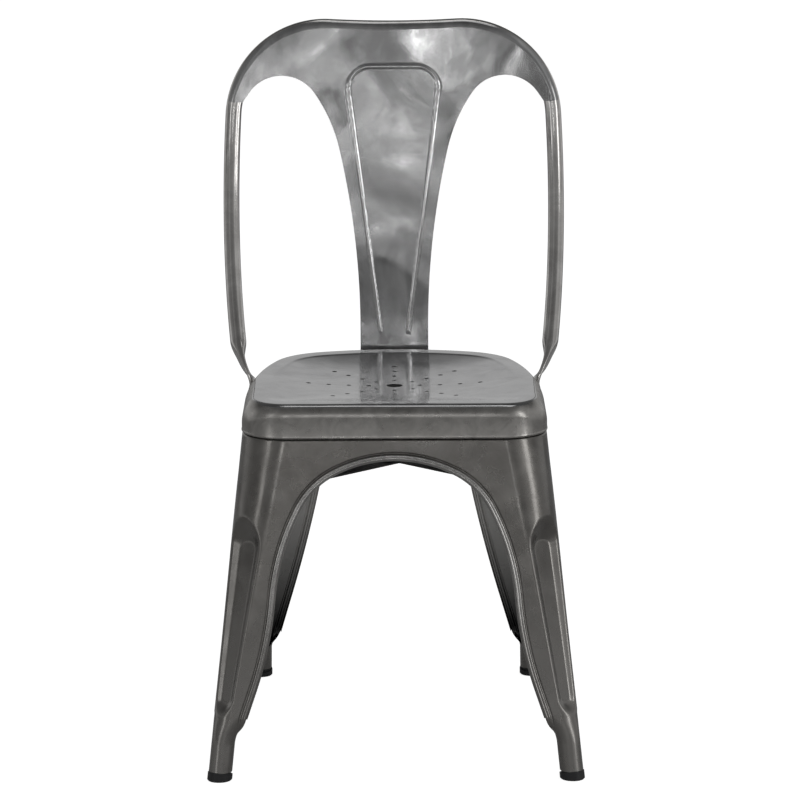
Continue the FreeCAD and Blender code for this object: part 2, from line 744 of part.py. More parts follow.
def hoop_end(pinch, last):
    """Right end of the hoop, pressed from round to a flat strap that lies on the seat's skirt."""
    skirt, out = strap_place()
    strap_top = skirt + out * (SEAM_GAP + STRAP_THICKNESS / 2) + V(0, 0, STRAP_TOP)
    length = (strap_top - pinch).Length
    leave = pinch + last * (PINCH_LEAVE * length)
    arrive = strap_top + UP * (PINCH_ARRIVE * length)
    controls = [pinch, leave, arrive, strap_top]
    start = pinch - last * HOOP_WALL
    sections = []
    for step in range(PINCH_STATIONS):
        t = (step / (PINCH_STATIONS - 1)) ** 1.5
        weights = [(1 - t) ** 3, 3 * t * (1 - t) ** 2, 3 * t * t * (1 - t), t ** 3]
        centre = V(0, 0, 0)
        for weight, control in zip(weights, controls):
            centre = centre + control * weight
        slopes = [(1 - t) ** 2, 2 * t * (1 - t), t * t]
        along = V(0, 0, 0)
        for weight, a, b in zip(slopes, controls, controls[1:]):
            along = along + (b - a) * weight
        along.normalize()
        twist = t ** TWIST_POWER
        thick = V(1, 0, 0) * (1 - twist) + out * twist
        thick = thick - along * thick.dot(along)
        thick.normalize()
        wide = along.cross(thick)
        press = 1 - (1 - t) ** PRESS_POWER
        round_half = HOOP_RADIUS - SEAM_GAP
        half_thick = round_half + (STRAP_THICKNESS / 2 - round_half) * press
        half_wide = round_half + (STRAP_WIDTH / 2 - round_half) * press
        if step == 0:
            centre = start
        sections.append(rounded_section(centre, thick, wide, half_thick, half_wide, 2 + STRAP_POWER * press))
    crimp = loft(sections, False)
    strap = Part.Face(sections[-1]).extrude(V(0, 0, STRAP_BOTTOM - STRAP_TOP))
    return crimp.fuse(strap)


def back_hoop():
    rail, shoulder, side, pinch, last = hoop_edges()
    half = [round_tube(edge, HOOP_RADIUS, HOOP_WALL) for edge in (shoulder, side)]
    half.append(hoop_end(pinch, last))
    tube = round_tube(rail, HOOP_RADIUS, HOOP_WALL)
    return tube.fuse(half + [mirrored(piece) for piece in half]).cut(bolt_holes())


# Splat and top panel
def splat_curve(shift):
    """Side view of the splat: upright foot, long arc, straight top parallel to the hoop."""
    lean = math.radians(HOOP_LEAN)
    foot_y = SEAT_REAR + SEAM_GAP
    stand_off = HOOP_RADIUS + SEAM_GAP + SHEET
    top = on_hoop(0, -PANEL_OVERLAP)
    top_y = top.y - stand_off / math.cos(lean)
    corner_z = top.z + (foot_y - top_y) / math.tan(lean)
    tangent = corner_z - SPLAT_BEND_Z
    radius = tangent / math.tan(lean / 2)
    centre = V(0, foot_y + radius, SPLAT_BEND_Z)
    r = radius - shift

    def spot(angle):
        return centre + V(0, -r * math.cos(angle), r * math.sin(angle))

    bottom = V(0, foot_y + shift, SPLAT_BOTTOM)
    rise = V(0, math.sin(lean), math.cos(lean))
    end = spot(lean)
    last = end + rise * ((top.z - end.z) / rise.z + PANEL_OVERLAP)
    edges = [
        line(bottom, spot(0)),
        arc(spot(0), spot(lean / 2), end),
        line(end, last),
    ]
    return edges, bottom, last


def splat_slab(front, rear):
    """Curved sheet between two shifts from the splat's front face."""
    near, near_low, near_top = splat_curve(front)
    far, far_low, far_top = splat_curve(rear)
    loop = near + [line(near_top, far_top)] + list(reversed(far)) + [line(far_low, near_low)]
    face = Part.Face(Part.Wire(Part.__sortEdges__(loop)))
    return face.translate(V(-FRAME_REACH, 0, 0)).extrude(V(2 * FRAME_REACH, 0, 0))


def through_panel(wire):
    """Prism through the back from a closed outline."""
    return Part.Face(wire).translate(V(0, -FRAME_REACH, 0)).extrude(V(0, 2 * FRAME_REACH, 0))


def panel_chain(segments, side):
    """Arcs that leave the top of a window, inwards (-1) or outwards (1), and their end."""
    edges, end, heading = arch_chain(segments, 0.0)

    def place(spot):
        return V(WINDOW_PEAK_X + side * spot[0], 0, WINDOW_PEAK_Z + spot[1])

    return [(place(a), place(m), place(b)) for a, m, b in edges], place(end), heading


def panel_outline():
    inner, waist, heading = panel_chain(SPLAT_WAIST, -1)
    outer, shoulder, slope = panel_chain(WINDOW_OUTER, 1)
    tip = flat(on_corner_arc(PANEL_TIP_DEGREES, PANEL_OVERLAP / 2))
    notch_drop = shoulder.z - tip.z
    notch = V(shoulder.x + notch_drop / math.tan(slope), 0, tip.z)
    top = flat(on_corner_arc(90 + HOOP_TOP_TILT, PANEL_OVERLAP))
    crown = flat(on_hoop(0, rail_drop(PANEL_OVERLAP)))
    half_turn = (90 + HOOP_TOP_TILT + PANEL_TIP_DEGREES) / 2
    foot = V(waist.x, 0, SPLAT_BOTTOM)
    right = [line(foot, waist)]
    right += [arc(b, m, a) for a, m, b in reversed(inner)]
    right += [arc(a, m, b) for a, m, b in outer]
    right += [line(shoulder, notch), line(notch, tip)]
    right.append(arc(tip, flat(on_corner_arc(half_turn, PANEL_OVERLAP)), top))
    left = [mirrored(edge) for edge in reversed(right)]
    crown_arc = arc(top, crown, mirrored_point(top))
    return Part.Wire(right + [crown_arc] + left + [line(mirrored_point(foot), foot)])


def flat(point):
    return V(point.x, 0, point.z)


def bead_band(grow):
    """Tapered outline with rounded top corners, open below, grown by an amount."""
    top = BEAD_TOP_Z + grow
    slope = (BEAD_TOP_HALF - BEAD_LOW_HALF) / (BEAD_TOP_Z - BEAD_LOW_Z)
    lean = math.atan(slope)
    side = grow / math.cos(lean)
    radius = BEAD_CORNER + grow
    low_x = BEAD_LOW_HALF + side
    top_x = BEAD_TOP_HALF + side + grow * slope
    cut = radius * math.tan((math.pi / 2 + lean) / 2)
    start = V(top_x - cut * math.sin(lean), 0, top - cut * math.cos(lean))
    end = V(top_x - cut, 0, top)
    centre = V(end.x, 0, top - radius)
    bow = math.pi / 4 - lean / 2
    middle = centre + V(radius * math.cos(bow), 0, radius * math.sin(bow))
    low = V(low_x, 0, BEAD_LOW_Z)
    right = [line(low, start), arc(start, middle, end)]
    left = [mirrored(edge) for edge in reversed(right)]
    return Part.Wire(right + [line(end, mirrored_point(end))] + left + [line(mirrored_point(low), low)])


def splat_bead():
    band = through_panel(bead_band(BEAD_WIDTH / 2)).cut(through_panel(bead_band(-BEAD_WIDTH / 2)))
    ends = []
    for side in (-1, 1):
        foot = V(side * BEAD_LOW_HALF, 0, BEAD_LOW_Z)
        ends.append(Part.makeCylinder(BEAD_WIDTH / 2, 2 * FRAME_REACH, foot, V(0, 1, 0)))
    return splat_slab(-BEAD_RISE, SHEET / 2).common(band.fuse(ends))


def back_splat():
    sheet = splat_slab(0, SHEET).common(through_panel(panel_outline()))
    return sheet.fuse(splat_bead()).cut(bolt_holes())


def build():
    os.makedirs("parts", exist_ok=True)
    holes = bolt_holes()
    save("seat_pan", seat_pan().cut(holes))
    for front, place in ((True, "front"), (False, "rear")):
        right = leg(front).cut(holes)
        save("leg_%s_right" % place, right)
        save("leg_%s_left" % place, mirrored(right))
        cap = foot_cap(front)
        save("foot_cap_%s_right" % place, cap)
        save("foot_cap_%s_left" % place, mirrored(cap))
    save("cross_brace_lower", brace(BRACE_Z, 45))
    save("cross_brace_upper", brace(BRACE_Z + BRACE_THICKNESS, -45))
    save("brace_rivet", brace_rivet())
    save("back_hoop", back_hoop())
    save("back_splat", back_splat())
    head, inside, out = hoop_layers()
    hoop_bolt = bolt(head, out, bolt_length(head, inside))
    hoop_washer = washer(inside, out)
    hoop_nut = nut(inside - out * WASHER_THICKNESS, out)
    for name, piece in (("bolt", hoop_bolt), ("washer", hoop_washer), ("nut", hoop_nut)):
        save("hoop_%s_right" % name, piece)
        save("hoop_%s_left" % name, mirrored(piece))
    bolts, washers, nuts = [], [], []
    for side in (-1, 1):
        head, inside, out = splat_layers(side)
        bolts.append(bolt(head, out, bolt_length(head, inside)))
        washers.append(washer(inside, out))
        nuts.append(nut(inside - out * WASHER_THICKNESS, out))
    save("splat_bolts", Part.makeCompound(bolts))
    save("splat_washers", Part.makeCompound(washers))
    save("splat_nuts", Part.makeCompound(nuts))


build()
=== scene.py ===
import logging
import math
from collections.abc import Callable
from dataclasses import dataclass
from enum import Enum

import bmesh
import bpy
import numpy as np
from mathutils import Matrix, Vector


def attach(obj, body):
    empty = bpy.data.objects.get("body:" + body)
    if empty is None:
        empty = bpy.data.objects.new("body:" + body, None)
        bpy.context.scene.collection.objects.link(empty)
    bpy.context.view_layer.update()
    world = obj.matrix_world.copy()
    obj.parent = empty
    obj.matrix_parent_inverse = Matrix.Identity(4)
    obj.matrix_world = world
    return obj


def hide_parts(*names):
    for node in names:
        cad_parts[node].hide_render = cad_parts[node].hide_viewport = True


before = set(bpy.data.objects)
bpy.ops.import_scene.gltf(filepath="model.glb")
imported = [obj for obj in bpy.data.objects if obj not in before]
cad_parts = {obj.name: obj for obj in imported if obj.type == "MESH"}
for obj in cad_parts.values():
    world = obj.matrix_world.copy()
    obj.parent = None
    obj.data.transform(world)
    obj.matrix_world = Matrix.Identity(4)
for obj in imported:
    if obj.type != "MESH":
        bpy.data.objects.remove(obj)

LOG = logging.getLogger("bistro_chair")
MM = 0.001
ABOVE_FEET = 0.15
Points = np.ndarray
Colour = tuple[float, float, float]
Chain = tuple[tuple[float, float], ...]
Socket = bpy.types.NodeSocket


class Side(Enum):
    """Which half of the chair a piece belongs to, as the sign of its x."""

    RIGHT = 1
    LEFT = -1


class End(Enum):
    """Front or rear leg, as the sign of its y."""

    FRONT = -1
    REAR = 1


def smooth_step(value: Points) -> Points:
    """Ease a value from 0 to 1 with flat ends.

    Args:
        value: Numbers that are clipped to 0..1 first.

    Returns:
        The eased numbers.
    """
    clipped = np.clip(value, 0.0, 1.0)
    return clipped * clipped * (3.0 - 2.0 * clipped)


def soft_min(first: Points, second: Points, radius: float) -> Points:
    """Smaller of two heights, with the edge between them rounded.

    Args:
        first: Heights of the first surface.
        second: Heights of the second surface.
        radius: Size of the rounding, in the same unit.

    Returns:
        The rounded minimum.
    """
    gap = np.clip(0.5 + 0.5 * (second - first) / radius, 0.0, 1.0)
    return second * (1.0 - gap) + first * gap - radius * gap * (1.0 - gap)


def unit(vectors: Points) -> Points:
    """Scale each row of an array to length one."""
    return vectors / np.maximum(np.linalg.norm(vectors, axis=-1, keepdims=True), 1e-12)


def path_distance(points: Points, path: Points) -> Points:
    """Distance from many flat points to one flat path.

    Args:
        points: N x 2 points.
        path: M x 2 corners of the path.

    Returns:
        N distances.
    """
    best = np.full(len(points), 1e9)
    for start, end in zip(path[:-1], path[1:]):
        run = end - start
        share = np.clip(((points - start) @ run) / max(run @ run, 1e-12), 0.0, 1.0)
        best = np.minimum(best, np.linalg.norm(points - start - share[:, None] * run, axis=1))
    return best


def arc_points(
    centre: tuple[float, float], radius: float, start: float, end: float, count: int
) -> Points:
    """Flat points along an arc.

    Args:
        centre: Arc centre.
        radius: Arc radius.
        start: First angle in degrees.
        end: Last angle in degrees.
        count: Number of points.

    Returns:
        count x 2 points.
    """
    angles = np.radians(np.linspace(start, end, count))
    return np.column_stack([centre[0] + radius * np.cos(angles), centre[1] + radius * np.sin(angles)])


def lengths_along(path: Points) -> Points:
    """Length along a path at each of its corners."""
    return np.r_[0.0, np.cumsum(np.linalg.norm(np.diff(path, axis=0), axis=1))]


def at_lengths(path: Points, steps: Points, lengths: Points) -> Points:
    """Points at given lengths along a path.

    Args:
        path: M x K corners.
        steps: Length at each corner.
        lengths: N wanted lengths.

    Returns:
        N x K points.
    """
    return np.column_stack([np.interp(lengths, steps, path[:, k]) for k in range(path.shape[1])])


def along_path(path: Points, shares: Points) -> Points:
    """Points at given shares of a path's length.

    Args:
        path: M x K corners.
        shares: Numbers from 0 to 1.

    Returns:
        One point for each share.
    """
    steps = lengths_along(path)
    return at_lengths(path, steps, np.asarray(shares) * steps[-1])


def squared(vector: Points, along: Points) -> Points:
    """Unit vector nearest to a vector and square to a direction."""
    return unit(vector - along * (vector @ along))


def tangent_arcs(segments: Chain, crown: float, step: float = 1.5) -> Points:
    """Half an opening's edge as a chain of tangent arcs from its crown.

    Args:
        segments: Radius in mm and turn in degrees of each arc.
        crown: Height of the crown.
        step: Spacing of the points.

    Returns:
        Points of (across, up).
    """
    across, up, heading = 0.0, crown, 0.0
    out = [(across, up)]
    for radius, degrees in segments:
        turn = math.radians(degrees)
        bend = math.copysign(radius, turn)
        count = max(4, int(abs(turn) * radius / step))
        for k in range(1, count + 1):
            a = heading + turn * k / count
            ahead = across + bend * (math.sin(a) - math.sin(heading))
            out.append((ahead, up - bend * (math.cos(heading) - math.cos(a))))
        across, up = out[-1]
        heading += turn
    out.append((across + up / math.tan(heading), 0.0))
    return np.array(out)


class MeshMaker:
    """Collects grids of points in mm and turns them into one mesh object."""

    def __init__(self, name: str) -> None:
        """Start an empty mesh.

        Args:
            name: Name of the mesh and of its object.
        """
        self.name = name
        self.points: list[Points] = []
        self.faces: list[tuple[int, ...]] = []
        self.highlight_faces: set[int] = set()
        self.count = 0

    def grid(
        self, rows: Points, loop: bool = False, flip: bool = False, bright: range = range(0)
    ) -> None:
        """Add a grid of quads.

        Args:
            rows: R x C x 3 points.
            loop: Join the last column to the first.
            flip: Turn the faces round.
            bright: Columns of faces that take the brighter material, a painted highlight.
        """
        r, c = rows.shape[:2]
        base = self.count
        self.points.append(rows.reshape(-1, 3))
        self.count += r * c
        width = c if loop else c - 1
        for i in range(r - 1):
            for j in range(width):
                k = (j + 1) % c
                low, high = base + i * c, base + (i + 1) * c
                quad = (low + j, low + k, high + k, high + j)
                if j in bright:
                    self.highlight_faces.add(len(self.faces))
                self.faces.append(quad[::-1] if flip else quad)

    def make(self, side: Side = Side.RIGHT, weld: float = 0.02) -> bpy.types.Object:
        """Build the object, mirrored for the left side.

        Args:
            side: Which side the points are made for.
            weld: Distance in mm under which points are joined.

        Returns:
            The linked object.
        """
        points = np.concatenate(self.points) * MM
        points[:, 0] *= side.value
        faces = [f[::-1] for f in self.faces] if side is Side.LEFT else self.faces
        mesh = bpy.data.meshes.new(self.name)
        mesh.from_pydata(points.tolist(), [], faces)
        # Faces in the bright columns take slot 1, the painted highlight.
        for k in self.highlight_faces:
            mesh.polygons[k].material_index = 1
        made = bpy.data.objects.new(self.name, mesh)
        bpy.context.scene.collection.objects.link(made)
        bm = bmesh_of(mesh)
        bmesh.ops.remove_doubles(bm, verts=bm.verts, dist=weld * MM)
        bmesh.ops.dissolve_degenerate(bm, edges=bm.edges, dist=weld * MM / 4)
        bm.to_mesh(mesh)
        bm.free()
        mesh.shade_smooth()
        return made


def bmesh_of(mesh: bpy.types.Mesh) -> bmesh.types.BMesh:
    """Copy a mesh for editing.

    Args:
        mesh: The mesh.

    Returns:
        The editable copy, which the caller frees.
    """
    bm = bmesh.new()
    bm.from_mesh(mesh)
    return bm


def settle(
    made: bpy.types.Object, thickness: float, sharp: float = 40.0, inner_slot: int = 0
) -> bpy.types.Object:
    """Give a surface its sheet thickness, inwards, and freeze the result.

    Args:
        made: The surface, with its faces turned outwards.
        thickness: Sheet thickness in mm.
        sharp: Edges over this angle stay crisp.
        inner_slot: Material slot of the inner side.

    Returns:
        The same object.
    """
    skin = made.modifiers.new("sheet", "SOLIDIFY")
    skin.material_offset = inner_slot
    skin.thickness = thickness * MM
    skin.offset = -1.0
    skin.use_even_offset = False
    freeze(made)
    made.data.shade_smooth()
    made.data.set_sharp_from_angle(angle=math.radians(sharp))
    return made


def freeze(made: bpy.types.Object) -> None:
    """Replace an object's mesh by what its modifiers make of it.

    Args:
        made: The object, which loses its modifiers.
    """
    bpy.context.view_layer.update()
    graph = bpy.context.evaluated_depsgraph_get()
    old = made.data
    made.data = bpy.data.meshes.new_from_object(made.evaluated_get(graph), depsgraph=graph)
    made.modifiers.clear()
    bpy.data.meshes.remove(old)


def turn_faces(made: bpy.types.Object, measure: Callable[[bmesh.types.BMFace], float]) -> None:
    """Make a sheet's faces agree, and turn them the way that a measure asks for.

    Args:
        made: The sheet.
        measure: How well a face looks the wanted way; less than nothing for the other way.
    """
    bm = bmesh_of(made.data)
    bmesh.ops.recalc_face_normals(bm, faces=bm.faces)
    if sum(measure(face) * face.calc_area() for face in bm.faces) < 0:
        bmesh.ops.reverse_faces(bm, faces=bm.faces)
    bm.to_mesh(made.data)
    bm.free()


def outwards(face: bmesh.types.BMFace) -> float:
    """How far a face above the feet looks away from the chair's middle axis."""
    spot = face.calc_center_median()
    return face.normal.dot(Vector((spot.x, spot.y, 0.0))) if spot.z > ABOVE_FEET else 0.0


def forwards(face: bmesh.types.BMFace) -> float:
    """How far a face looks to the chair's front."""
    return -face.normal.y


# Finishes

class NodeBench:
    """A material or world tree, with short ways to add the nodes that the finishes use."""

    def __init__(self, tree: bpy.types.NodeTree) -> None:
        """Work on one tree."""
        self.tree = tree

    def first(self, kind: str) -> bpy.types.Node:
        """The tree's own node of a type."""
        return next(node for node in self.tree.nodes if node.type == kind)

    def add(self, kind: str, **inputs: object) -> bpy.types.Node:
        """Add a node and fill its inputs.

        Args:
            kind: Node type, without the leading ShaderNode.
            inputs: A socket to link or a value to set, by input name with _ for a space.

        Returns:
            The node.
        """
        node = self.tree.nodes.new("ShaderNode" + kind)
        self.fill(node, **inputs)
        return node

    def fill(self, node: bpy.types.Node, **inputs: object) -> None:
        """Link or set a node's inputs.

        Args:
            node: The node.
            inputs: Given as for add.
        """
        for name, value in inputs.items():
            socket = node.inputs[name.replace("_", " ")]
            if isinstance(value, Socket):
                self.tree.links.new(value, socket)
            else:
                socket.default_value = value

    def ramp(self, value: Socket, stops: list[tuple[float, Colour]]) -> Socket:
        """Colours along a value.

        Args:
            value: Number from 0 to 1.
            stops: Place and colour of each stop, in order.

        Returns:
            The colour.
        """
        node = self.add("ValToRGB", Fac=value)
        elements = node.color_ramp.elements
        for k, (spot, colour) in enumerate(stops):
            stop = elements[k] if k < 2 else elements.new(spot)
            stop.position = spot
            stop.color = (*colour, 1.0)
        return node.outputs["Color"]

    def eased(self, value: Socket, low: float, high: float) -> Socket:
        """A value's share of a range, with soft ends.

        Args:
            value: The number.
            low: Where the share is 0.
            high: Where it is 1.

        Returns:
            The share.
        """
        node = self.add("MapRange", Value=value, From_Min=low, From_Max=high)
        node.interpolation_type = "SMOOTHSTEP"
        return node.outputs["Result"]

    def blend(self, share: Socket | float, first: Socket | tuple, second: Socket | tuple) -> Socket:
        """Mix two colours by a share."""
        return self.add("MixRGB", Fac=share, Color1=first, Color2=second).outputs["Color"]

    def camera_switch(self, others: Socket, camera: Socket, out: bpy.types.Node) -> None:
        """Show one shader to the camera and another to everything else.

        Args:
            others: Shader that lights and mirrors see.
            camera: Shader that the camera sees.
            out: The tree's output node.
        """
        mix = self.add("MixShader", Fac=self.add("LightPath").outputs["Is Camera Ray"])
        self.tree.links.new(others, mix.inputs[1])
        self.tree.links.new(camera, mix.inputs[2])
        self.tree.links.new(mix.outputs["Shader"], out.inputs["Surface"])


def grey(level: float) -> Colour:
    """A neutral colour."""
    return (level, level, level)


def shader(name: str) -> tuple[bpy.types.Material, NodeBench, bpy.types.Node]:
    """Start a node material.

    Args:
        name: Name of the material.

    Returns:
        The material, the bench of its nodes and its main shader.
    """
    material = bpy.data.materials.new(name)
    material.use_nodes = True
    bench = NodeBench(material.node_tree)
    return material, bench, bench.first("BSDF_PRINCIPLED")


@dataclass(frozen=True)
class RawSteel:
    """Clear lacquered raw steel with cloudy burnish marks."""

    name: str
    dark: Colour
    light: Colour
    cloud_scale: float = 26.0
    roughness: float = 0.26
    stretch: tuple[float, float, float] = (1.0, 1.0, 1.0)
    coat: float = 0.5
    wave_scale: float = 7.0
    wave_depth: float = 0.016
    inside: Colour = (0.72, 0.71, 0.69)
    low: Colour | None = None
    cloud_span: tuple[float, float] = (0.30, 0.68)
    low_span: tuple[float, float] = (0.06, 0.32)
    # Painted shade on the inner side: share of the inner colour by height, dark at the foot and just under
    # the seat, with the dark grey below.
    inner_shade_stops: Chain = ((0.07, 0.0), (0.22, 1.0), (0.345, 1.0), (0.375, 0.05))
    shade_grey: float = 0.03
    grain_scale: float = 420.0
    grain_depth: float = 0.0004

    def material(self) -> bpy.types.Material:
        """Build the material.

        Returns:
            The node material.
        """
        material, bench, main = shader(self.name)
        place = bench.add("TexCoord").outputs["Object"]
        spread = bench.add("Mapping", Vector=place, Scale=self.stretch).outputs["Vector"]
        bench.fill(main, Base_Color=self.colour(bench, place, spread), Roughness=self.sheen(bench, spread))
        bench.fill(main, Normal=self.surface(bench, place, spread), Metallic=1.0)
        bench.fill(main, Coat_Weight=self.coat, Coat_Roughness=0.08)
        return material

    def colour(self, bench: NodeBench, place: Socket, spread: Socket) -> Socket:
        """Cloudy steel outside, and a duller inner side with painted shade that darkens it near the foot and
        under the seat.

        Args:
            bench: The material's nodes.
            place: Object coordinates.
            spread: The same, stretched.

        Returns:
            The colour.
        """
        cloud = bench.add(
            "TexNoise", Vector=spread, Scale=self.cloud_scale, Detail=6.0, Roughness=0.62, Distortion=1.4
        )
        start, end = self.cloud_span
        outside = bench.ramp(cloud.outputs["Fac"], [(start, self.dark), (end, self.light)])
        height = bench.add("SeparateXYZ", Vector=place).outputs["Z"]
        if self.low:
            outside = bench.blend(bench.eased(height, *self.low_span), (*self.low, 1.0), outside)
        # Painted shade: the inner side is darkened by height near the foot and under the seat.
        depth = bench.ramp(height, [(spot, grey(level)) for spot, level in self.inner_shade_stops])
        inner = bench.blend(depth, (*grey(self.shade_grey), 1.0), (*self.inside, 1.0))
        return bench.blend(bench.add("NewGeometry").outputs["Backfacing"], outside, inner)

    def sheen(self, bench: NodeBench, spread: Socket) -> Socket:
        """Roughness that changes in patches.

        Args:
            bench: The material's nodes.
            spread: Object coordinates, stretched.

        Returns:
            The roughness.
        """
        rub = bench.add("TexNoise", Vector=spread, Scale=self.cloud_scale * 2.6, Detail=4.0)
        return bench.add(
            "MapRange", Value=rub.outputs["Fac"], From_Min=0.3, From_Max=0.7,
            To_Min=self.roughness - 0.07, To_Max=self.roughness + 0.08,
        ).outputs["Result"]

    def surface(self, bench: NodeBench, place: Socket, spread: Socket) -> Socket:
        """Wide swells of the sheet with a fine grain on them.

        Args:
            bench: The material's nodes.
            place: Object coordinates.
            spread: The same, stretched.

        Returns:
            The normal.
        """
        wave = bench.add("TexNoise", Vector=spread, Scale=self.wave_scale, Detail=1.5, Distortion=0.8)
        swell = bench.add("Bump", Height=wave.outputs["Fac"], Strength=1.0, Distance=self.wave_depth)
        grain = bench.add("TexNoise", Vector=place, Scale=self.grain_scale, Detail=3.0)
        return bench.add(
            "Bump", Height=grain.outputs["Fac"], Strength=0.05, Distance=self.grain_depth,
            Normal=swell.outputs["Normal"],
        ).outputs["Normal"]


@dataclass(frozen=True)
class DarkPart:
    """Black or dark part with a fine texture: fittings in their own colour, and sheets made dark as painted
    shade.
    """

    name: str
    colour: Colour
    roughness: float
    metallic: float = 0.0
    grain_scale: float = 900.0
    grain_depth: float = 0.25

    def material(self) -> bpy.types.Material:
        """Build the material.

        Returns:
            The node material.
        """
        material, bench, main = shader(self.name)
        place = bench.add("TexCoord").outputs["Object"]
        grain = bench.add("TexNoise", Vector=place, Scale=self.grain_scale, Detail=3.0).outputs["Fac"]
        dark = tuple(c * 0.75 for c in self.colour)
        light = tuple(min(1.0, c * 1.35) for c in self.colour)
        bump = bench.add("Bump", Height=grain, Strength=self.grain_depth, Distance=0.0002)
        bench.fill(
            main, Base_Color=bench.ramp(grain, [(0.0, dark), (1.0, light)]), Normal=bump.outputs["Normal"],
            Roughness=self.roughness, Metallic=self.metallic,
        )
        return material


LOW_STEEL: Colour = (0.27, 0.26, 0.247)
FRAME_STEEL = RawSteel(
    "frame_steel", (0.165, 0.157, 0.147), (0.245, 0.236, 0.223), 14.0, 0.27, wave_depth=0.003, low=LOW_STEEL
)
# Brighter copy of the frame steel on the arch lips and hems: painted highlight; its lower roughness is
# finish.
LEG_EDGE_HIGHLIGHT_STEEL = RawSteel(
    "leg_edge_highlight_steel", (0.42, 0.41, 0.395), (0.60, 0.59, 0.575), 40.0, 0.17, wave_depth=0.001, low=LOW_STEEL
)
TUBE_STEEL = RawSteel("tube_steel", (0.52, 0.505, 0.49), (0.76, 0.745, 0.725), 18.0, 0.17, wave_depth=0.0008)
BACK_STEEL = RawSteel(
    "back_steel", (0.32, 0.32, 0.322), (0.55, 0.55, 0.552), 13.0, 0.17, (1.0, 1.0, 0.75),
    wave_scale=5.0, wave_depth=0.012,
)
# Brighter copy of the back steel on the raised bead: painted highlight.
BEAD_HIGHLIGHT_STEEL = RawSteel("bead_highlight_steel", (0.55, 0.55, 0.552), (0.74, 0.74, 0.742), 30.0, 0.13, wave_depth=0.004)
SEAT_STEEL = RawSteel("seat_steel", (0.44, 0.44, 0.443), (0.56, 0.56, 0.565), 16.0, 0.15, wave_depth=0.0015)
# Rougher, uncoated copy of the seat steel for the steep skirt faces; its darker, browner colour is painted
# shade.
SEAT_SIDE_SHADED_STEEL = RawSteel(
    "seat_side_shaded_steel", (0.34, 0.33, 0.315), (0.50, 0.487, 0.466), 34.0, 0.31, wave_depth=0.003, coat=0.0
)
# Near-black inner side of the seat sheet: painted shade under the seat, which also darkens the drain holes.
SEAT_UNDERSIDE_SHADE = DarkPart("seat_underside_shade", (0.035, 0.034, 0.033), 0.5, 0.6, 60.0, 0.1)
ZINC = DarkPart("zinc_plate", (0.5, 0.5, 0.52), 0.3, 1.0, 240.0, 0.2)
FITTING_FINISHES = {
    "foot_cap": DarkPart("foot_plastic", (0.022, 0.022, 0.024), 0.45, grain_scale=700.0),
    "bolt": DarkPart("bolt_black", (0.03, 0.03, 0.032), 0.32, 0.3, 500.0, 0.15),
    # The brace's steel is made near black: painted shade under the seat.
    "brace": DarkPart("brace_dark", (0.06, 0.058, 0.056), 0.4, 0.8, 160.0, 0.3),
    "washer": ZINC,
    "nut": ZINC,
}


# Shared outlines

@dataclass
class SeatOutline:
    """Plan of the seat: the skirt's right half from front middle to rear middle, in mm."""

    half_width: float = 182.0
    front: float = 181.4
    rear: float = 182.0
    front_corner: float = 55.0
    bend_y: float = -40.0
    bend: float = 445.0
    rear_corner: float = 98.0
    rear_bow: float = 295.0
    run_lengths: tuple[float, ...] = (130.0, 90.0, 90.0, 70.0, 110.0, 120.0)

    def centres(self) -> tuple[Points, Points, Points]:
        """Find where the tangent arcs have their centres.

        Returns:
            Centres of the side bend, rear bow and rear corner.
        """
        side = np.array([self.half_width - self.bend, self.bend_y])
        rear = np.array([0.0, self.rear - self.rear_bow])
        between = rear - side
        gap = np.linalg.norm(between)
        to_side = self.bend - self.rear_corner
        to_rear = self.rear_bow - self.rear_corner
        run = (to_side ** 2 - to_rear ** 2 + gap ** 2) / (2 * gap)
        rise = math.sqrt(to_side ** 2 - run ** 2)
        line = between / gap
        return side, rear, side + line * run + np.array([-line[1], line[0]]) * rise

    def segments(self, offset: float = 0.0, spacing: float = 3.0) -> list[Points]:
        """Points of each of the six runs, grown by an offset.

        Args:
            offset: Distance outwards in mm.
            spacing: Rough spacing of points.

        Returns:
            Six arrays of N x 2 points.
        """
        side, rear, corner = self.centres()
        front_centre = (self.half_width - self.front_corner, self.front_corner - self.front)
        side_turn = math.degrees(math.atan2(*(corner - side)[::-1]))
        rear_turn = math.degrees(math.atan2(*(corner - rear)[::-1]))
        counts = [int(length / spacing) + 2 for length in self.run_lengths]
        front_arc = arc_points(front_centre, self.front_corner + offset, -90, 0, counts[1])
        side_arc = arc_points(tuple(side), self.bend + offset, 0, side_turn, counts[3])
        corner_arc = arc_points(
            tuple(corner), self.rear_corner + offset, side_turn, rear_turn, counts[4]
        )
        rear_arc = arc_points(tuple(rear), self.rear_bow + offset, rear_turn, 90, counts[5])
        start = np.array([0.0, -self.front - offset])
        front_line = np.linspace(start, front_arc[0], counts[0])
        side_line = np.linspace(front_arc[-1], side_arc[0], counts[2])
        return [front_line, front_arc, side_line, side_arc, corner_arc, rear_arc]

    def ring(self, offset: float = 0.0, spacing: float = 3.0) -> Points:
        """Closed plan outline, from front middle round the right side and back by the left.

        Args:
            offset: Distance outwards in mm.
            spacing: Rough spacing of points.

        Returns:
            N x 2 points.
        """
        runs = self.segments(offset, spacing)
        half = np.concatenate([run[:-1] for run in runs] + [runs[-1][-1:]])
        left = half[-2:0:-1] * np.array([-1.0, 1.0])
        return np.concatenate([half, left])


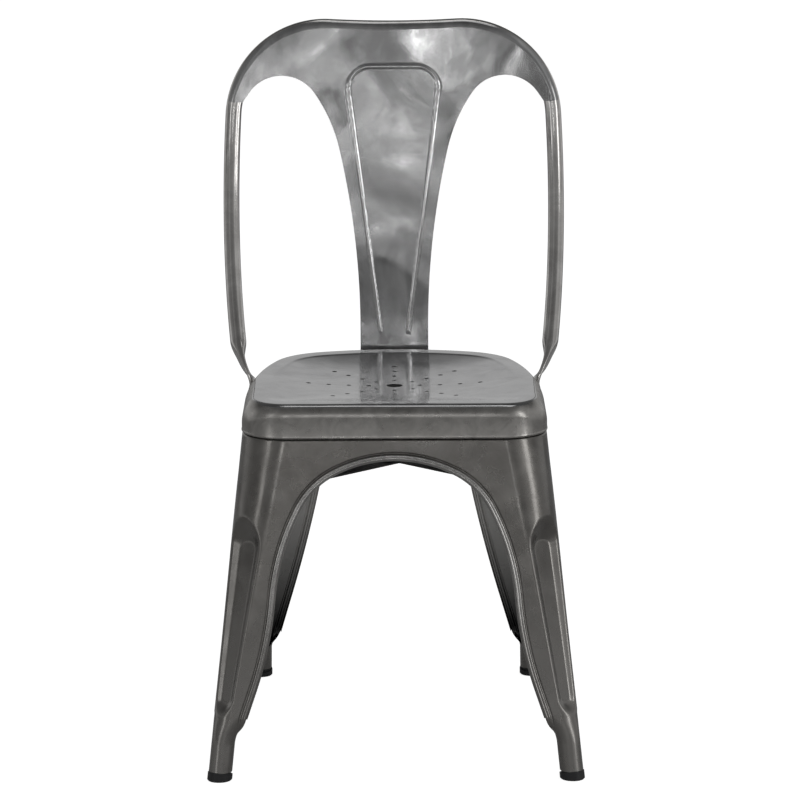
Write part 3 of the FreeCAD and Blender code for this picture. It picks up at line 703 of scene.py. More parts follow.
@dataclass
class FootPlan:
    """Where the feet stand, in mm."""

    radius: float = 14.0
    front_x: float = 209.4
    rear_x: float = 175.0
    y: float = 233.5
    frame_top: float = 400.0

    def segments(self, seat: SeatOutline, counts: list[int]) -> list[Points]:
        """Floor outline in runs that match the seat outline's runs.

        Args:
            seat: The seat outline above.
            counts: Number of points in each run.

        Returns:
            Six arrays of points.
        """
        slant = math.degrees(math.atan2(self.front_x - self.rear_x, 2 * self.y))
        front = arc_points((self.front_x, -self.y), self.radius, -90, slant, counts[1])
        rear = arc_points((self.rear_x, self.y), self.radius, slant, 90, counts[4])
        share = (seat.bend_y + self.y) / (2 * self.y)
        split = front[-1] + (rear[0] - front[-1]) * share
        return [
            np.linspace((0.0, -self.y - self.radius), front[0], counts[0]),
            front,
            np.linspace(front[-1], split, counts[2]),
            np.linspace(split, rear[0], counts[3]),
            rear,
            np.linspace(rear[-1], (0.0, self.y + self.radius), counts[5]),
        ]


SEAT = SeatOutline()
FEET = FootPlan()


# Seat

@dataclass
class SeatPan:
    """Pressed seat: skirt, rolled edge, flat rim and drained dish."""

    height: float = 441.0
    skirt_bottom: float = 400.9
    roll: float = 15.0
    front_shoulder: float = 15.0
    side_shoulder: float = 40.0
    shoulder_turn: float = 46.0
    sheet: float = 1.2
    rim: float = 17.0
    dish_depth: float = 10.0
    rim_step: float = 0.25
    dish_centre_y: float = -4.0
    drain_radius: float = 10.0
    drain_y: float = -10.0
    hole_radius: float = 2.9
    rays: int = 8
    rows: int = 4
    first: float = 31.0
    step: float = 24.5
    drain_parts: int = 48
    hole_parts: int = 20
    cutter_length: float = 40.0
    hem: Chain = (
        (-2.2, 1.6), (-1.5, 0.4), (-0.7, 0.0), (-0.15, 0.5), (0.3, 1.1),
        (0.5, 1.8), (0.45, 2.5), (0.15, 3.1), (0.0, 3.9),
    )
    rim_shares: tuple[float, ...] = (0.25, 0.5, 0.75, 0.92)
    rim_fall: float = 0.25
    dish_start: float = 0.3
    dish_rings: int = 60
    skirt_reach: float = 150.0
    upright: float = 0.8
    sharp: float = 35.0
    finish: RawSteel = SEAT_STEEL
    shaded_side_finish: RawSteel = SEAT_SIDE_SHADED_STEEL
    underside_shade: DarkPart = SEAT_UNDERSIDE_SHADE

    def profile(self, shoulder: float) -> list[tuple[float, float]]:
        """Edge section from the skirt's bottom to the rim.

        Args:
            shoulder: Radius of the shoulder between the skirt and the rolled edge.

        Returns:
            Pairs of offset from the skirt and height.
        """
        section = [(offset, self.skirt_bottom + rise) for offset, rise in self.hem]
        turn = math.radians(self.shoulder_turn)
        inset = shoulder * (1 - math.cos(turn))
        top_radius = (self.roll - inset) / math.cos(turn)
        joint = self.height - top_radius * (1 - math.sin(turn))
        base = joint - shoulder * math.sin(turn)
        for a in np.linspace(0.0, turn, 18):
            section.append((-shoulder * (1 - math.cos(a)), base + shoulder * math.sin(a)))
        for a in np.linspace(turn, math.pi / 2, 10)[1:]:
            across = top_radius * (math.cos(turn) - math.cos(a))
            section.append((-inset - across, joint + top_radius * (math.sin(a) - math.sin(turn))))
        return section

    def surface(self) -> Points:
        """Lay the seat out as rings of points.

        Returns:
            Rings from the skirt's hem to the dish's middle, ring x point x 3.
        """
        inner = SEAT.ring(-self.roll - self.rim)
        return np.array(self.edge_rings() + self.rim_rings(inner) + self.dish_rows(inner))

    def edge_rings(self) -> list[Points]:
        """Rings of the skirt and the rolled edge, tight at the front and wide at the sides.

        Returns:
            One array of points for each ring, the lowest first.
        """
        rings = []
        outward = unit(SEAT.ring(0.0) - SEAT.ring(-1.0))
        sideways = smooth_step(outward[:, :1] ** 2)
        sections = zip(self.profile(self.front_shoulder), self.profile(self.side_shoulder))
        for (front_offset, front_z), (side_offset, side_z) in sections:
            plan = SEAT.ring(front_offset) * (1 - sideways) + SEAT.ring(side_offset) * sideways
            rings.append(np.column_stack([plan, front_z * (1 - sideways) + side_z * sideways]))
        return rings

    def rim_rings(self, inner: Points) -> list[Points]:
        """Rings of the flat rim.

        Args:
            inner: The rim's inner outline.

        Returns:
            One array of points for each ring, the outermost first.
        """
        rings = []
        edge = SEAT.ring(-self.roll)
        for share in self.rim_shares:
            plan = edge + (inner - edge) * share
            height = self.height - self.rim_fall * share ** 3
            rings.append(np.column_stack([plan, np.full(len(plan), height)]))
        return rings

    def dish_rows(self, inner: Points) -> list[Points]:
        """Rings of the dish, which turn round towards its middle.

        Args:
            inner: The rim's inner outline.

        Returns:
            One array of points for each ring.
        """
        rings = []
        centre = np.array([0.0, self.dish_centre_y])
        spokes = inner - centre
        reach = np.linalg.norm(spokes, axis=1, keepdims=True)
        even = spokes / reach * reach.mean()
        for k in range(self.dish_rings):
            share = 1.0 - (k / self.dish_rings) ** 1.4
            step = self.rim_step * float(smooth_step(np.array((1.0 - share) * 30.0)))
            fall = step + (self.dish_depth - self.rim_step) * (1.0 - share ** 2.4)
            round_share = smooth_step(np.array((1.0 - share) * 1.2))
            plan = centre + (spokes * (1 - round_share) + even * round_share) * share
            height = self.height - self.dish_start - fall
            rings.append(np.column_stack([plan, np.full(len(plan), height)]))
        return rings

    def cutter(self) -> bpy.types.Object:
        """Make one object that holds every drain hole's cutting cylinder.

        Returns:
            The cutter.
        """
        bm = bmesh.new()
        spots = [(0.0, self.drain_y, self.drain_radius, self.drain_parts)]
        for ray in range(self.rays):
            angle = 2 * math.pi * ray / self.rays
            for row in range(self.rows):
                reach = self.first + row * self.step
                x, y = reach * math.cos(angle), self.drain_y + reach * math.sin(angle)
                spots.append((x, y, self.hole_radius, self.hole_parts))
        for x, y, radius, parts in spots:
            bmesh.ops.create_cone(
                bm, cap_ends=True, segments=parts, radius1=radius * MM, radius2=radius * MM,
                depth=self.cutter_length * MM,
                matrix=Matrix.Translation((x * MM, y * MM, (self.height - self.dish_depth) * MM)),
            )
        mesh = bpy.data.meshes.new("drain_cutter")
        bm.to_mesh(mesh)
        bm.free()
        cutter = bpy.data.objects.new("drain_cutter", mesh)
        bpy.context.scene.collection.objects.link(cutter)
        return cutter

    def drill(self, made: bpy.types.Object) -> None:
        """Cut the drain holes.

        Args:
            made: The seat, with its sheet thickness.
        """
        cutter = self.cutter()
        cut = made.modifiers.new("drain", "BOOLEAN")
        cut.object = cutter
        cut.operation = "DIFFERENCE"
        cut.solver = "EXACT"
        freeze(made)
        bpy.data.objects.remove(cutter)

    def build(self) -> bpy.types.Object:
        """Make, drill and dress the seat.

        Returns:
            The seat object.
        """
        maker = MeshMaker("seat_pan_pressed")
        rings = self.surface()
        maker.grid(rings, loop=True)
        around = rings.shape[1]
        first = maker.count - around
        maker.points.append(rings[-1].mean(axis=0)[None, :])
        for j in range(around):
            maker.faces.append((first + j, first + (j + 1) % around, maker.count))
        maker.count += 1
        made = maker.make()
        for finish in (self.finish, self.underside_shade, self.shaded_side_finish):
            made.data.materials.append(finish.material())
        # Steep skirt faces take slot 2, the darker copy: painted shade on the skirt.
        for face in made.data.polygons:
            steep = abs(face.normal.z) < self.upright
            above_hem = face.center.z > (self.skirt_bottom - 0.5) * MM
            if steep and above_hem and face.center.xy.length > self.skirt_reach * MM:
                face.material_index = 2
        made = settle(made, self.sheet, inner_slot=1)
        self.drill(made)
        made.data.shade_smooth()
        made.data.set_sharp_from_angle(angle=math.radians(self.sharp))
        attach(made, "root")
        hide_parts("seat_pan")
        return made


# Legs

@dataclass
class SheetLeg:
    """One flared leg of folded sheet, with its arch lips, corner flute and rolled foot."""

    end: End
    side: Side
    crown: float = 376.4
    lip: float = 6.4
    lip_rise: float = 1.5
    groove: float = 3.0
    groove_depth: float = 1.1
    hem: float = 1.9
    join_z: float = 77.0
    closed_z: float = 44.0
    tube_z: float = 40.0
    cap_z: float = 8.5
    flute_slope: float = 0.5
    flute_top: tuple[float, float, float] = (268.0, 11.5, 12.5)
    flute_low: tuple[float, float, float] = (96.0, 6.5, 8.0)
    front_arch: Chain = ((157.0, 27.3), (93.0, 34.9), (280.0, 22.7), (455.0, -14.0))
    rear_arch: Chain = ((85.0, 30.0), (70.0, 30.0), (250.0, 18.5), (2000.0, -4.5))
    side_arch: Chain = ((172.0, 27.3), (93.0, 34.9), (280.0, 15.0), (1200.0, -7.4))
    strip: tuple[float, ...] = (
        0.0, 0.3, 0.7, 1.2, 1.7, 2.2, 2.6, 2.9, 3.2, 3.5, 3.8, 4.2,
        4.7, 5.2, 5.7, 6.05, 6.4, 6.8, 7.3, 7.9, 8.5, 9.0, 9.4, 10.0,
    )
    across: int = 42
    level_step: float = 2.0
    samples: int = 180
    turn_z: float = 300.0
    collar_z: float = 397.6
    low_rows: int = 120
    inset: float = 0.6
    plan_spacing: float = 1.5
    edge_step: float = 0.5
    high_step: float = 1.9
    flute_ease: float = 2.0
    flute_round: float = 3.2
    flute_reach: float = 8.0
    flute_end_slope: float = 0.12
    hem_turns: tuple[float, ...] = (30.0, 60.0, 90.0, 125.0, 160.0)
    hem_reach: float = 0.7
    collar_steps: Chain = ((400.2, 4.2), (400.2, 2.4), (400.0, 1.5), (399.4, 0.7), (398.6, 0.2), (397.6, 0.0))
    foot_step: float = 1.5
    foot_levels: tuple[float, ...] = (30.0, 20.0)
    wing_turn: float = 128.0
    wing_close: float = 52.0
    wing_grow: float = 0.10
    # Columns of the lip and of the hem that take the painted highlight.
    lip_columns: range = range(1, 14)
    hem_columns: range = range(3, 5)
    sharp: float = 72.0

    def __post_init__(self) -> None:
        """Prepare the two walls' tables of surface points."""
        self.sign = self.end.value
        front = self.end is End.FRONT
        if not front:
            self.join_z, self.closed_z, self.tube_z = 60.0, 40.0, 36.0
        self.foot_x = FEET.front_x if front else FEET.rear_x
        top = SEAT.segments(-self.inset, self.plan_spacing)
        low = FEET.segments(SEAT, [len(s) for s in top])
        runs = slice(0, 4) if front else slice(3, 6)
        order = 1 if front else -1
        top_plan = np.concatenate(top[runs])[::order]
        low_plan = np.concatenate(low[runs])[::order]
        self.levels = np.arange(0.0, FEET.frame_top + self.level_step, self.level_step)
        wall, flank = [], []
        shares = np.linspace(0.0, 1.0, self.samples)
        for z in self.levels:
            plan = low_plan + (top_plan - low_plan) * (z / FEET.frame_top)
            middle = int(np.argmax(plan[:, 0] + self.sign * plan[:, 1]))
            other_half = plan[:, 1] * self.sign < 0
            inner = int(np.argmax(other_half)) if other_half.any() else len(plan)
            wall.append(along_path(plan[: middle + 1], shares))
            rest = plan[middle:inner][::-1]
            start = np.array([[rest[0, 0], 0.0]])
            flank.append(along_path(np.concatenate([start, rest]), shares))
        self.tables = [self.table(np.array(wall)), self.table(np.array(flank))]

    def table(self, plans: Points) -> Points:
        """Stack plan points with their heights: level x share x 3."""
        heights = np.repeat(self.levels[:, None], plans.shape[1], axis=1)
        return np.concatenate([plans, heights[..., None]], axis=2)

    def surface(self, which: int, share: Points, z: Points) -> Points:
        """Points of a wall.

        Args:
            which: 0 for the front or rear wall, 1 for the side wall.
            share: 0 at the wall's middle, 1 at the leg's corner.
            z: Heights.

        Returns:
            N x 3 points.
        """
        grid = self.tables[which]
        i = np.clip(z / self.level_step, 0, len(self.levels) - 1.001)
        j = np.clip(share * (self.samples - 1), 0, self.samples - 1.001)
        i0, j0 = i.astype(int), j.astype(int)
        fi, fj = (i - i0)[:, None], (j - j0)[:, None]
        low = grid[i0, j0] * (1 - fj) + grid[i0, j0 + 1] * fj
        high = grid[i0 + 1, j0] * (1 - fj) + grid[i0 + 1, j0 + 1] * fj
        return low * (1 - fi) + high * fi

    def normal(self, which: int, share: Points, z: Points) -> Points:
        """Outward unit normals of a wall.

        Args:
            which: 0 for the front or rear wall, 1 for the side wall.
            share: 0 at the wall's middle, 1 at the leg's corner.
            z: Heights.

        Returns:
            N x 3 vectors.
        """
        du, dz, limit = 0.006, 2.0, FEET.frame_top - 1.0
        right, left = np.clip(share + du, 0, 1), np.clip(share - du, 0, 1)
        above, below = np.clip(z + dz, 0, limit), np.clip(z - dz, 0, limit)
        run = self.surface(which, right, z) - self.surface(which, left, z)
        rise = self.surface(which, share, above) - self.surface(which, share, below)
        flat = unit(np.cross(run, rise))
        spot = self.surface(which, share, z)
        facing = np.sign(np.sum(flat[:, :2] * spot[:, :2], axis=1))
        return flat * facing[:, None]

    def share_of(self, which: int, across: Points, z: Points) -> Points:
        """Share along a wall where it lies a distance from the chair's middle plane.

        Args:
            which: 0 for the front or rear wall, 1 for the side wall.
            across: Distances from the middle plane.
            z: Heights.

        Returns:
            N shares.
        """
        out = np.empty(len(z))
        for k, (a, h) in enumerate(zip(across, z)):
            i = min(int(h / self.level_step), len(self.levels) - 2)
            f = h / self.level_step - i
            run = self.tables[which][i] * (1 - f) + self.tables[which][i + 1] * f
            out[k] = np.interp(a, np.abs(run[:, which]), np.linspace(0.0, 1.0, self.samples))
        return out

    def sharp_corner(self, z: float) -> tuple[Points, float]:
        """Where the two walls would meet at a height.

        Args:
            z: Height.

        Returns:
            The meeting point's x and y, and the corner's radius there.
        """
        front = self.end is End.FRONT
        low = np.array([self.foot_x + FEET.radius, self.sign * (FEET.y + FEET.radius)])
        depth = SEAT.front if front else SEAT.rear
        top = np.array([SEAT.half_width - self.inset, self.sign * (depth - self.inset)])
        share = z / FEET.frame_top
        radius = SEAT.front_corner if front else SEAT.rear_corner
        return low + (top - low) * share, FEET.radius + (radius - self.inset - FEET.radius) * share

    def foot_axis(self) -> Points:
        """Direction up the leg's corner.

        Returns:
            The unit vector.
        """
        low, _ = self.sharp_corner(0.0)
        top, _ = self.sharp_corner(FEET.frame_top)
        return unit(np.array([top[0] - low[0], top[1] - low[1], FEET.frame_top]))

    def foot_middle(self, z: float) -> Points:
        """Centre of the foot tube at a height."""
        axis = self.foot_axis()
        return np.array([self.foot_x, self.sign * FEET.y, 0.0]) + axis * (z / axis[2])

    def lip_height(self, distance: Points) -> Points:
        """Height of the rolled lip and its groove.

        Args:
            distance: Distances from the arch's edge.

        Returns:
            Heights over the wall, less than nothing in the groove.
        """
        across = np.clip(distance / self.lip, 0.0, 1.0)
        bead = self.lip_rise * np.sqrt(np.clip(1.0 - (2.0 * across - 1.0) ** 2, 0.0, 1.0))
        bead = bead * (1.0 - 0.45 * np.exp(-((distance - 0.5 * self.lip) / 0.75) ** 2))
        dip = (distance - self.lip - self.groove / 2) / (self.groove / 2)
        return bead - self.groove_depth * np.clip(1.0 - dip ** 2, 0.0, 1.0) ** 1.5

    def flute(self, points: Points) -> Points:
        """Press the tapered flute into the corner.

        Args:
            points: N x 3 wall points.

        Returns:
            The pressed points.
        """
        out = unit(np.array([1.0, self.sign * 1.0, 0.0]))
        ends = []
        for z, _, sink in (self.flute_top, self.flute_low):
            sharp, radius = self.sharp_corner(z)
            ends.append(np.array([*sharp, z]) - out * (radius * (math.sqrt(2) - 1) + sink))
        start, end = ends
        along = unit(end - start)
        across = unit(np.cross(out, along))
        normal = np.cross(along, across)
        normal *= np.sign(normal @ out)
        length = np.linalg.norm(end - start)
        local = points - start
        a, c, n = local @ along, np.abs(local @ across), local @ normal
        big, small = self.flute_top[1], self.flute_low[1]
        radius = big + (small - big) * np.clip(a / length, 0.0, 1.0)
        beyond = np.where(a < 0, -a, np.maximum(a - length, 0.0))
        gap = np.hypot(beyond, c) - radius
        floor = np.where(gap > 0, np.sqrt(gap ** 2 + self.flute_ease ** 2) - self.flute_ease, 0.0)
        floor = floor * self.flute_slope + np.maximum(beyond - radius, 0.0) * self.flute_end_slope
        pressed = soft_min(n, floor, self.flute_round)
        moved = points + (pressed - n)[:, None] * normal
        return np.where(((n > -self.flute_reach) & (pressed < n - 1e-4))[:, None], moved, points)

    def arch_edge(self, which: int) -> Points:
        """Flat edge of a wall's arch, from its crown to the foot.

        Args:
            which: 0 for the front or rear wall, 1 for the side wall.

        Returns:
            Points of (across, up), of which the last low_rows lie below the turn.
        """
        if which:
            chain = self.side_arch
        else:
            chain = self.front_arch if self.end is End.FRONT else self.rear_arch
        edge = tangent_arcs(chain, self.crown, 1.0)
        total = np.linalg.norm(np.diff(edge, axis=0), axis=1).sum()
        dense = along_path(edge, np.linspace(0.0, 1.0, int(total / self.edge_step)))
        dense = dense[dense[:, 1] >= self.join_z - 3.0]
        high_run, low_run = dense[dense[:, 1] >= self.turn_z], dense[dense[:, 1] < self.turn_z]
        high_count = int(len(high_run) * self.edge_step / self.high_step)
        return np.concatenate([
            along_path(high_run, np.linspace(0.0, 1.0, high_count)),
            along_path(low_run, np.linspace(0.0, 1.0, self.low_rows)),
        ])

    def patch(self, which: int) -> tuple[Points, Points]:
        """One wall from its arch's edge to the leg's corner.

        Args:
            which: 0 for the front or rear wall, 1 for the side wall.

        Returns:
            Rows of points along the arch, and the outward normals of the arch strip.
        """
        edge = self.arch_edge(which)
        slope = unit(np.gradient(edge, axis=0))
        slope[0] = (1.0, 0.0)
        away = np.column_stack([-slope[:, 1], slope[:, 0]])
        strip = np.array(self.strip)
        flat = edge[:, None, :] + away[:, None, :] * strip[None, :, None]
        flat[0, :, 0] = 0.0
        across, z = flat.reshape(-1, 2).T
        share = self.share_of(which, np.abs(across), z)
        normals = self.normal(which, share, z)
        rise = self.lip_height(np.tile(strip, len(edge)))
        belt = self.surface(which, share, z) + rise[:, None] * normals
        belt = belt.reshape(len(edge), len(strip), 3)
        start_share = share.reshape(flat.shape[:2])[:, -1:]
        start_z = flat[:, -1:, 1]
        goal_share, goal_z = self.goals(len(edge) - self.low_rows)
        t = np.linspace(0.0, 1.0, self.across)[1:]
        s = start_share * (1 - t) + goal_share[:, None] * t
        z = start_z * (1 - t) + goal_z[:, None] * t
        field = self.surface(which, s.ravel(), z.ravel()).reshape(len(edge), len(t), 3)
        return np.concatenate([belt, field], axis=1), normals.reshape(belt.shape)

    def goals(self, high_count: int) -> tuple[Points, Points]:
        """Where the rows of a wall end: along the collar, then down the corner.

        Args:
            high_count: Number of rows that end on the collar.

        Returns:
            Share and height of each row's end.
        """
        share = np.r_[np.linspace(0.0, 1.0, high_count), np.ones(self.low_rows)]
        lower = np.linspace(self.collar_z, self.join_z - 4.0, self.low_rows + 1)[1:]
        return share, np.r_[np.full(high_count, self.collar_z), lower]

    def hem_strip(self, belt: Points, normals: Points) -> Points:
        """Small curl that turns an arch's edge inwards.

        Args:
            belt: Rows along the arch, with the edge in the first column.
            normals: Outward normals of its first columns.

        Returns:
            A strip of points.
        """
        edge = belt[:, 0]
        outward = unit(edge - belt[:, 5])
        facing = normals[:, 0]
        outward = unit(outward - facing * np.sum(outward * facing, axis=1)[:, None])
        strips = [edge]
        for degrees in self.hem_turns:
            a = math.radians(degrees)
            reach, sink = self.hem * math.sin(a) * self.hem_reach, self.hem * (1 - math.cos(a))
            strips.append(edge + outward * reach - facing * sink)
        return np.stack(strips[::-1], axis=1)

    def collar(self, which: int) -> Points:
        """Rounded top edge that turns in under the seat's skirt.

        Args:
            which: 0 for the front or rear wall, 1 for the side wall.

        Returns:
            Rows of points, the innermost first.
        """
        share = np.linspace(0.0, 1.0, 120)
        heights = np.full(len(share), self.collar_z)
        base = self.surface(which, share, heights)
        normal = self.normal(which, share, heights)
        normal = unit(normal * np.array([1.0, 1.0, 0.0]))
        rows = []
        for z, inset in self.collar_steps:
            row = base - normal * inset
            row[:, 2] = z
            rows.append(row)
        return np.array(rows)

    def foot(self, last: Points) -> Points:
        """Rows that roll the two wings into the round foot.

        Args:
            last: Lowest row of both walls, from one arch to the other.

        Returns:
            Rows below it.
        """
        axis = self.foot_axis()
        steps = lengths_along(last)
        share = steps / steps[-1]
        corner = int(np.argmax((last[:, :2] * np.array([1.0, self.sign])).sum(axis=1)))
        middle = share[corner]
        turn = np.where(share < middle, (share - middle) / middle, (share - middle) / (1 - middle))
        levels = np.arange(self.join_z - self.foot_step, self.tube_z, -self.foot_step)
        rows = [last]
        ahead = math.atan2(self.sign, 1.0)
        for z in (*levels, self.tube_z, *self.foot_levels, self.cap_z + 2.0):
            fall = (self.join_z - z) / (self.join_z - self.closed_z)
            closing = 0.5 * min(fall, 1.0) + 0.5 * float(smooth_step(np.array(fall)))
            span = self.wing_turn + self.wing_close * float(smooth_step(np.array(fall * 1.05)))
            heading = ahead - np.radians(turn * span) * self.sign
            centre = self.foot_middle(z)
            grown = FEET.radius * (1 + self.wing_grow * (1 - closing))
            ring = np.column_stack([
                centre[0] + grown * np.cos(heading),
                centre[1] + grown * np.sin(heading),
                np.full(len(turn), z),
            ])
            slid = last + axis * ((z - self.join_z) / axis[2])
            rows.append(slid * (1 - closing) + ring * closing)
        return np.array(rows)

    def build(self, finish: bpy.types.Material, edge: bpy.types.Material) -> bpy.types.Object:
        """Make and dress the leg.

        Args:
            finish: Steel material.
            edge: Brighter material of the lips and hems, a painted highlight.

        Returns:
            The leg object.
        """
        place = f"{self.end.name}_{self.side.name}".lower()
        maker = MeshMaker(f"leg_{place}_sheet")
        lows = []
        blocks = []
        for which in (0, 1):
            grid, normals = self.patch(which)
            lows.append(grid[-1])
            blocks.append((grid, self.lip_columns))
            blocks.append((self.hem_strip(grid, normals), self.hem_columns))
            blocks.append((self.collar(which), range(0)))
        last = np.concatenate([lows[0], lows[1][::-1][1:]])
        blocks.append((self.foot(last), range(0)))
        for block, bright in blocks:
            maker.grid(self.flute(block.reshape(-1, 3)).reshape(block.shape), bright=bright)
        made = maker.make(self.side, 0.05)
        turn_faces(made, outwards)
        made.data.shade_smooth()
        made.data.set_sharp_from_angle(angle=math.radians(self.sharp))
        made.data.materials.append(finish)
        made.data.materials.append(edge)
        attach(made, "root")
        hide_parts(f"leg_{place}")
        return made


# Back

@dataclass
class HoopPlane:
    """The leaning plane that the upper hoop and the splat share, in mm."""

    top: float = 851.0
    top_y: float = 236.0
    lean: float = 10.5
    radius: float = 10.0
    corner: float = 115.0
    corner_x: float = 86.0
    tilt: float = 3.2
    flare: float = 3.0

    def at(self, x: Points, drop: Points) -> Points:
        """Points of the plane.

        Args:
            x: Distances from the chair's middle plane.
            drop: Distances down the plane from the top of its humps.

        Returns:
            Points, with x, y and z along the last axis.
        """
        lean = math.radians(self.lean)
        x, drop = np.broadcast_arrays(np.asarray(x, float), np.asarray(drop, float))
        y = self.top_y - drop * math.sin(lean)
        return np.stack([x, y, self.top - self.radius - drop * math.cos(lean)], axis=-1)

    def corner_arc(self, degrees: Points) -> Points:
        """Round shoulder of the hoop.

        Args:
            degrees: Angles on the arc, 90 at its top.

        Returns:
            Flat (x, drop) points.
        """
        a = np.radians(degrees)
        x = self.corner_x + self.corner * np.cos(a)
        return np.column_stack([x, self.corner - self.corner * np.sin(a)])

    def rail(self, count: int = 40) -> Points:
        """Shallow curve of the top rail's right half.

        Args:
            count: Number of points.

        Returns:
            Flat (x, drop) points from the rail's middle to its hump.
        """
        tilt = math.radians(self.tilt)
        reach = self.corner_x - self.corner * math.sin(tilt)
        sag = self.corner - self.corner * math.cos(tilt)
        radius = reach / math.sin(tilt)
        x = np.linspace(0.0, reach, count)
        rise = radius - np.sqrt(radius ** 2 - x ** 2)
        return np.column_stack([x, sag + reach * math.tan(tilt / 2) - rise])

    @property
    def normal(self) -> Points:
        """Unit vector out of the plane towards the rear."""
        lean = math.radians(self.lean)
        return np.array([0.0, math.cos(lean), -math.sin(lean)])

    @property
    def down(self) -> Points:
        """Unit vector down the plane."""
        lean = math.radians(self.lean)
        return np.array([0.0, -math.sin(lean), -math.cos(lean)])


PLANE = HoopPlane()
X_AXIS = np.array([1.0, 0.0, 0.0])
Z_AXIS = np.array([0.0, 0.0, 1.0])
MIRROR = np.array([-1.0, 1.0, 1.0])


@dataclass(frozen=True)
class Section:
    """One section of the tube: centre, directions, half sizes in mm and squareness."""

    spot: Points
    along: Points
    thick: Points
    half_thick: float = PLANE.radius
    half_wide: float = PLANE.radius
    power: float = 2.0


@dataclass
class BackHoop:
    """Bent tube with ends pressed flat against the seat's skirt."""

    pinch: tuple[float, float, float] = (193.2, 84.0, 468.0)
    strap_y: float = 56.0
    strap_top: float = 420.0
    strap_bottom: float = 397.0
    strap_thick: float = 5.0
    strap_wide: float = 27.0
    seam: float = 0.3
    leave: float = 0.7
    arrive: float = 0.15
    press_power: float = 5.0
    twist_power: float = 3.0
    seam_turn: float = 52.0
    seam_rise: float = 0.55
    seam_half: float = 9.0
    parts: int = 80
    swing_steps: int = 34
    flat_power: float = 5.0
    strap_levels: tuple[float, ...] = (415.0, 408.0, 398.2)
    end_shrink: tuple[float, float] = (0.86, 0.97)
    weld: float = 0.3
    sharp: float = 45.0

    def skirt_point(self) -> tuple[Points, Points]:
        """Find the skirt behind the strap.

        Returns:
            The point of the skirt at height 0 and the way out from it.
        """
        centre = np.array([SEAT.half_width - SEAT.bend, SEAT.bend_y, 0.0])
        a = math.asin((self.strap_y - SEAT.bend_y) / SEAT.bend)
        out = np.array([math.cos(a), math.sin(a), 0.0])
        return centre + out * SEAT.bend, out

    def round_path(self) -> Points:
        """Middle line of the round part: rail, shoulder and bowed side.

        Returns:
            Points from the top middle to the pinch.
        """
        rail = PLANE.rail()
        shoulder = PLANE.corner_arc(np.linspace(90 + PLANE.tilt, PLANE.flare, 70))[1:]
        flat = np.concatenate([rail, shoulder])
        upper = PLANE.at(flat[:, 0], flat[:, 1])
        flare = math.radians(PLANE.flare)
        tangent = X_AXIS * math.sin(flare) + PLANE.down * math.cos(flare)
        start, end = upper[-1], np.array(self.pinch)
        chord = end - start
        normal = squared(chord, tangent)
        radius = (chord @ chord) / (2 * (chord @ normal))
        centre = start + normal * radius
        sweep = 2 * math.atan2(chord @ normal, chord @ tangent)
        angles = np.linspace(0, sweep, 90)[1:, None]
        side = centre + (-normal * np.cos(angles) + tangent * np.sin(angles)) * radius
        return np.concatenate([upper, side])

    def stations(self) -> list[Section]:
        """Sections from the top middle to the strap's end.

        Returns:
            Round sections, then those of the swing and of the strap.
        """
        path = self.round_path()
        tangents = unit(np.gradient(path, axis=0))
        tangents[0] = X_AXIS
        sections = []
        for spot, along in zip(path, tangents):
            thick = X_AXIS - along * along[0]
            if np.linalg.norm(thick) < 0.35:
                thick = -PLANE.down
            sections.append(Section(spot, along, squared(thick, along)))
        skirt, out = self.skirt_point()
        strap_top = skirt + out * (self.seam + self.strap_thick / 2) + Z_AXIS * self.strap_top
        return sections + self.swing(path[-1], tangents[-1], strap_top, out) + self.strap(strap_top, out)

    def swing(self, start: Points, heading: Points, goal: Points, out: Points) -> list[Section]:
        """Sections that swing in from the pinch to the strap while the tube is pressed flat.

        Args:
            start: The pinch.
            heading: Direction of the tube there.
            goal: Top of the strap.
            out: Way out from the skirt.

        Returns:
            Sections without the one at the pinch.
        """
        length = np.linalg.norm(goal - start)
        leaving, arriving = heading * (self.leave * length), Z_AXIS * (self.arrive * length)
        controls = [start, start + leaving, goal + arriving, goal]
        sections = []
        round_half, thick_half, wide_half = PLANE.radius, self.strap_thick / 2, self.strap_wide / 2
        for t in np.linspace(0.0, 1.0, self.swing_steps)[1:] ** 1.4:
            weights = [(1 - t) ** 3, 3 * t * (1 - t) ** 2, 3 * t * t * (1 - t), t ** 3]
            spot = sum(a * b for a, b in zip(weights, controls))
            slope = [(1 - t) ** 2, 2 * t * (1 - t), t * t]
            along = unit(sum(a * (q - p) for a, p, q in zip(slope, controls, controls[1:])))
            twist = t ** self.twist_power
            thick = squared(X_AXIS * (1 - twist) + out * twist, along)
            press = (1.0 - (1.0 - t) ** self.press_power) * float(smooth_step(np.array(0.25 + t * 4.0)))
            half_thick = round_half + (thick_half - round_half) * press
            half_wide = round_half + (wide_half - round_half) * press
            power = 2.0 + (self.flat_power - 2.0) * press
            sections.append(Section(spot, along, thick, half_thick, half_wide, power))
        return sections

    def strap(self, top: Points, out: Points) -> list[Section]:
        """Sections of the flat strap below its top.

        Args:
            top: Middle of the strap's top.
            out: Way out from the skirt.

        Returns:
            Sections down to the strap's end.
        """
        sections = []
        for z in (*self.strap_levels, self.strap_bottom):
            thin, narrow = self.end_shrink if z == self.strap_bottom else (1.0, 1.0)
            half_thick, half_wide = self.strap_thick / 2 * thin, self.strap_wide / 2 * narrow
            spot = top + Z_AXIS * (z - self.strap_top)
            sections.append(Section(spot, -Z_AXIS, out, half_thick, half_wide, self.flat_power))
        return sections

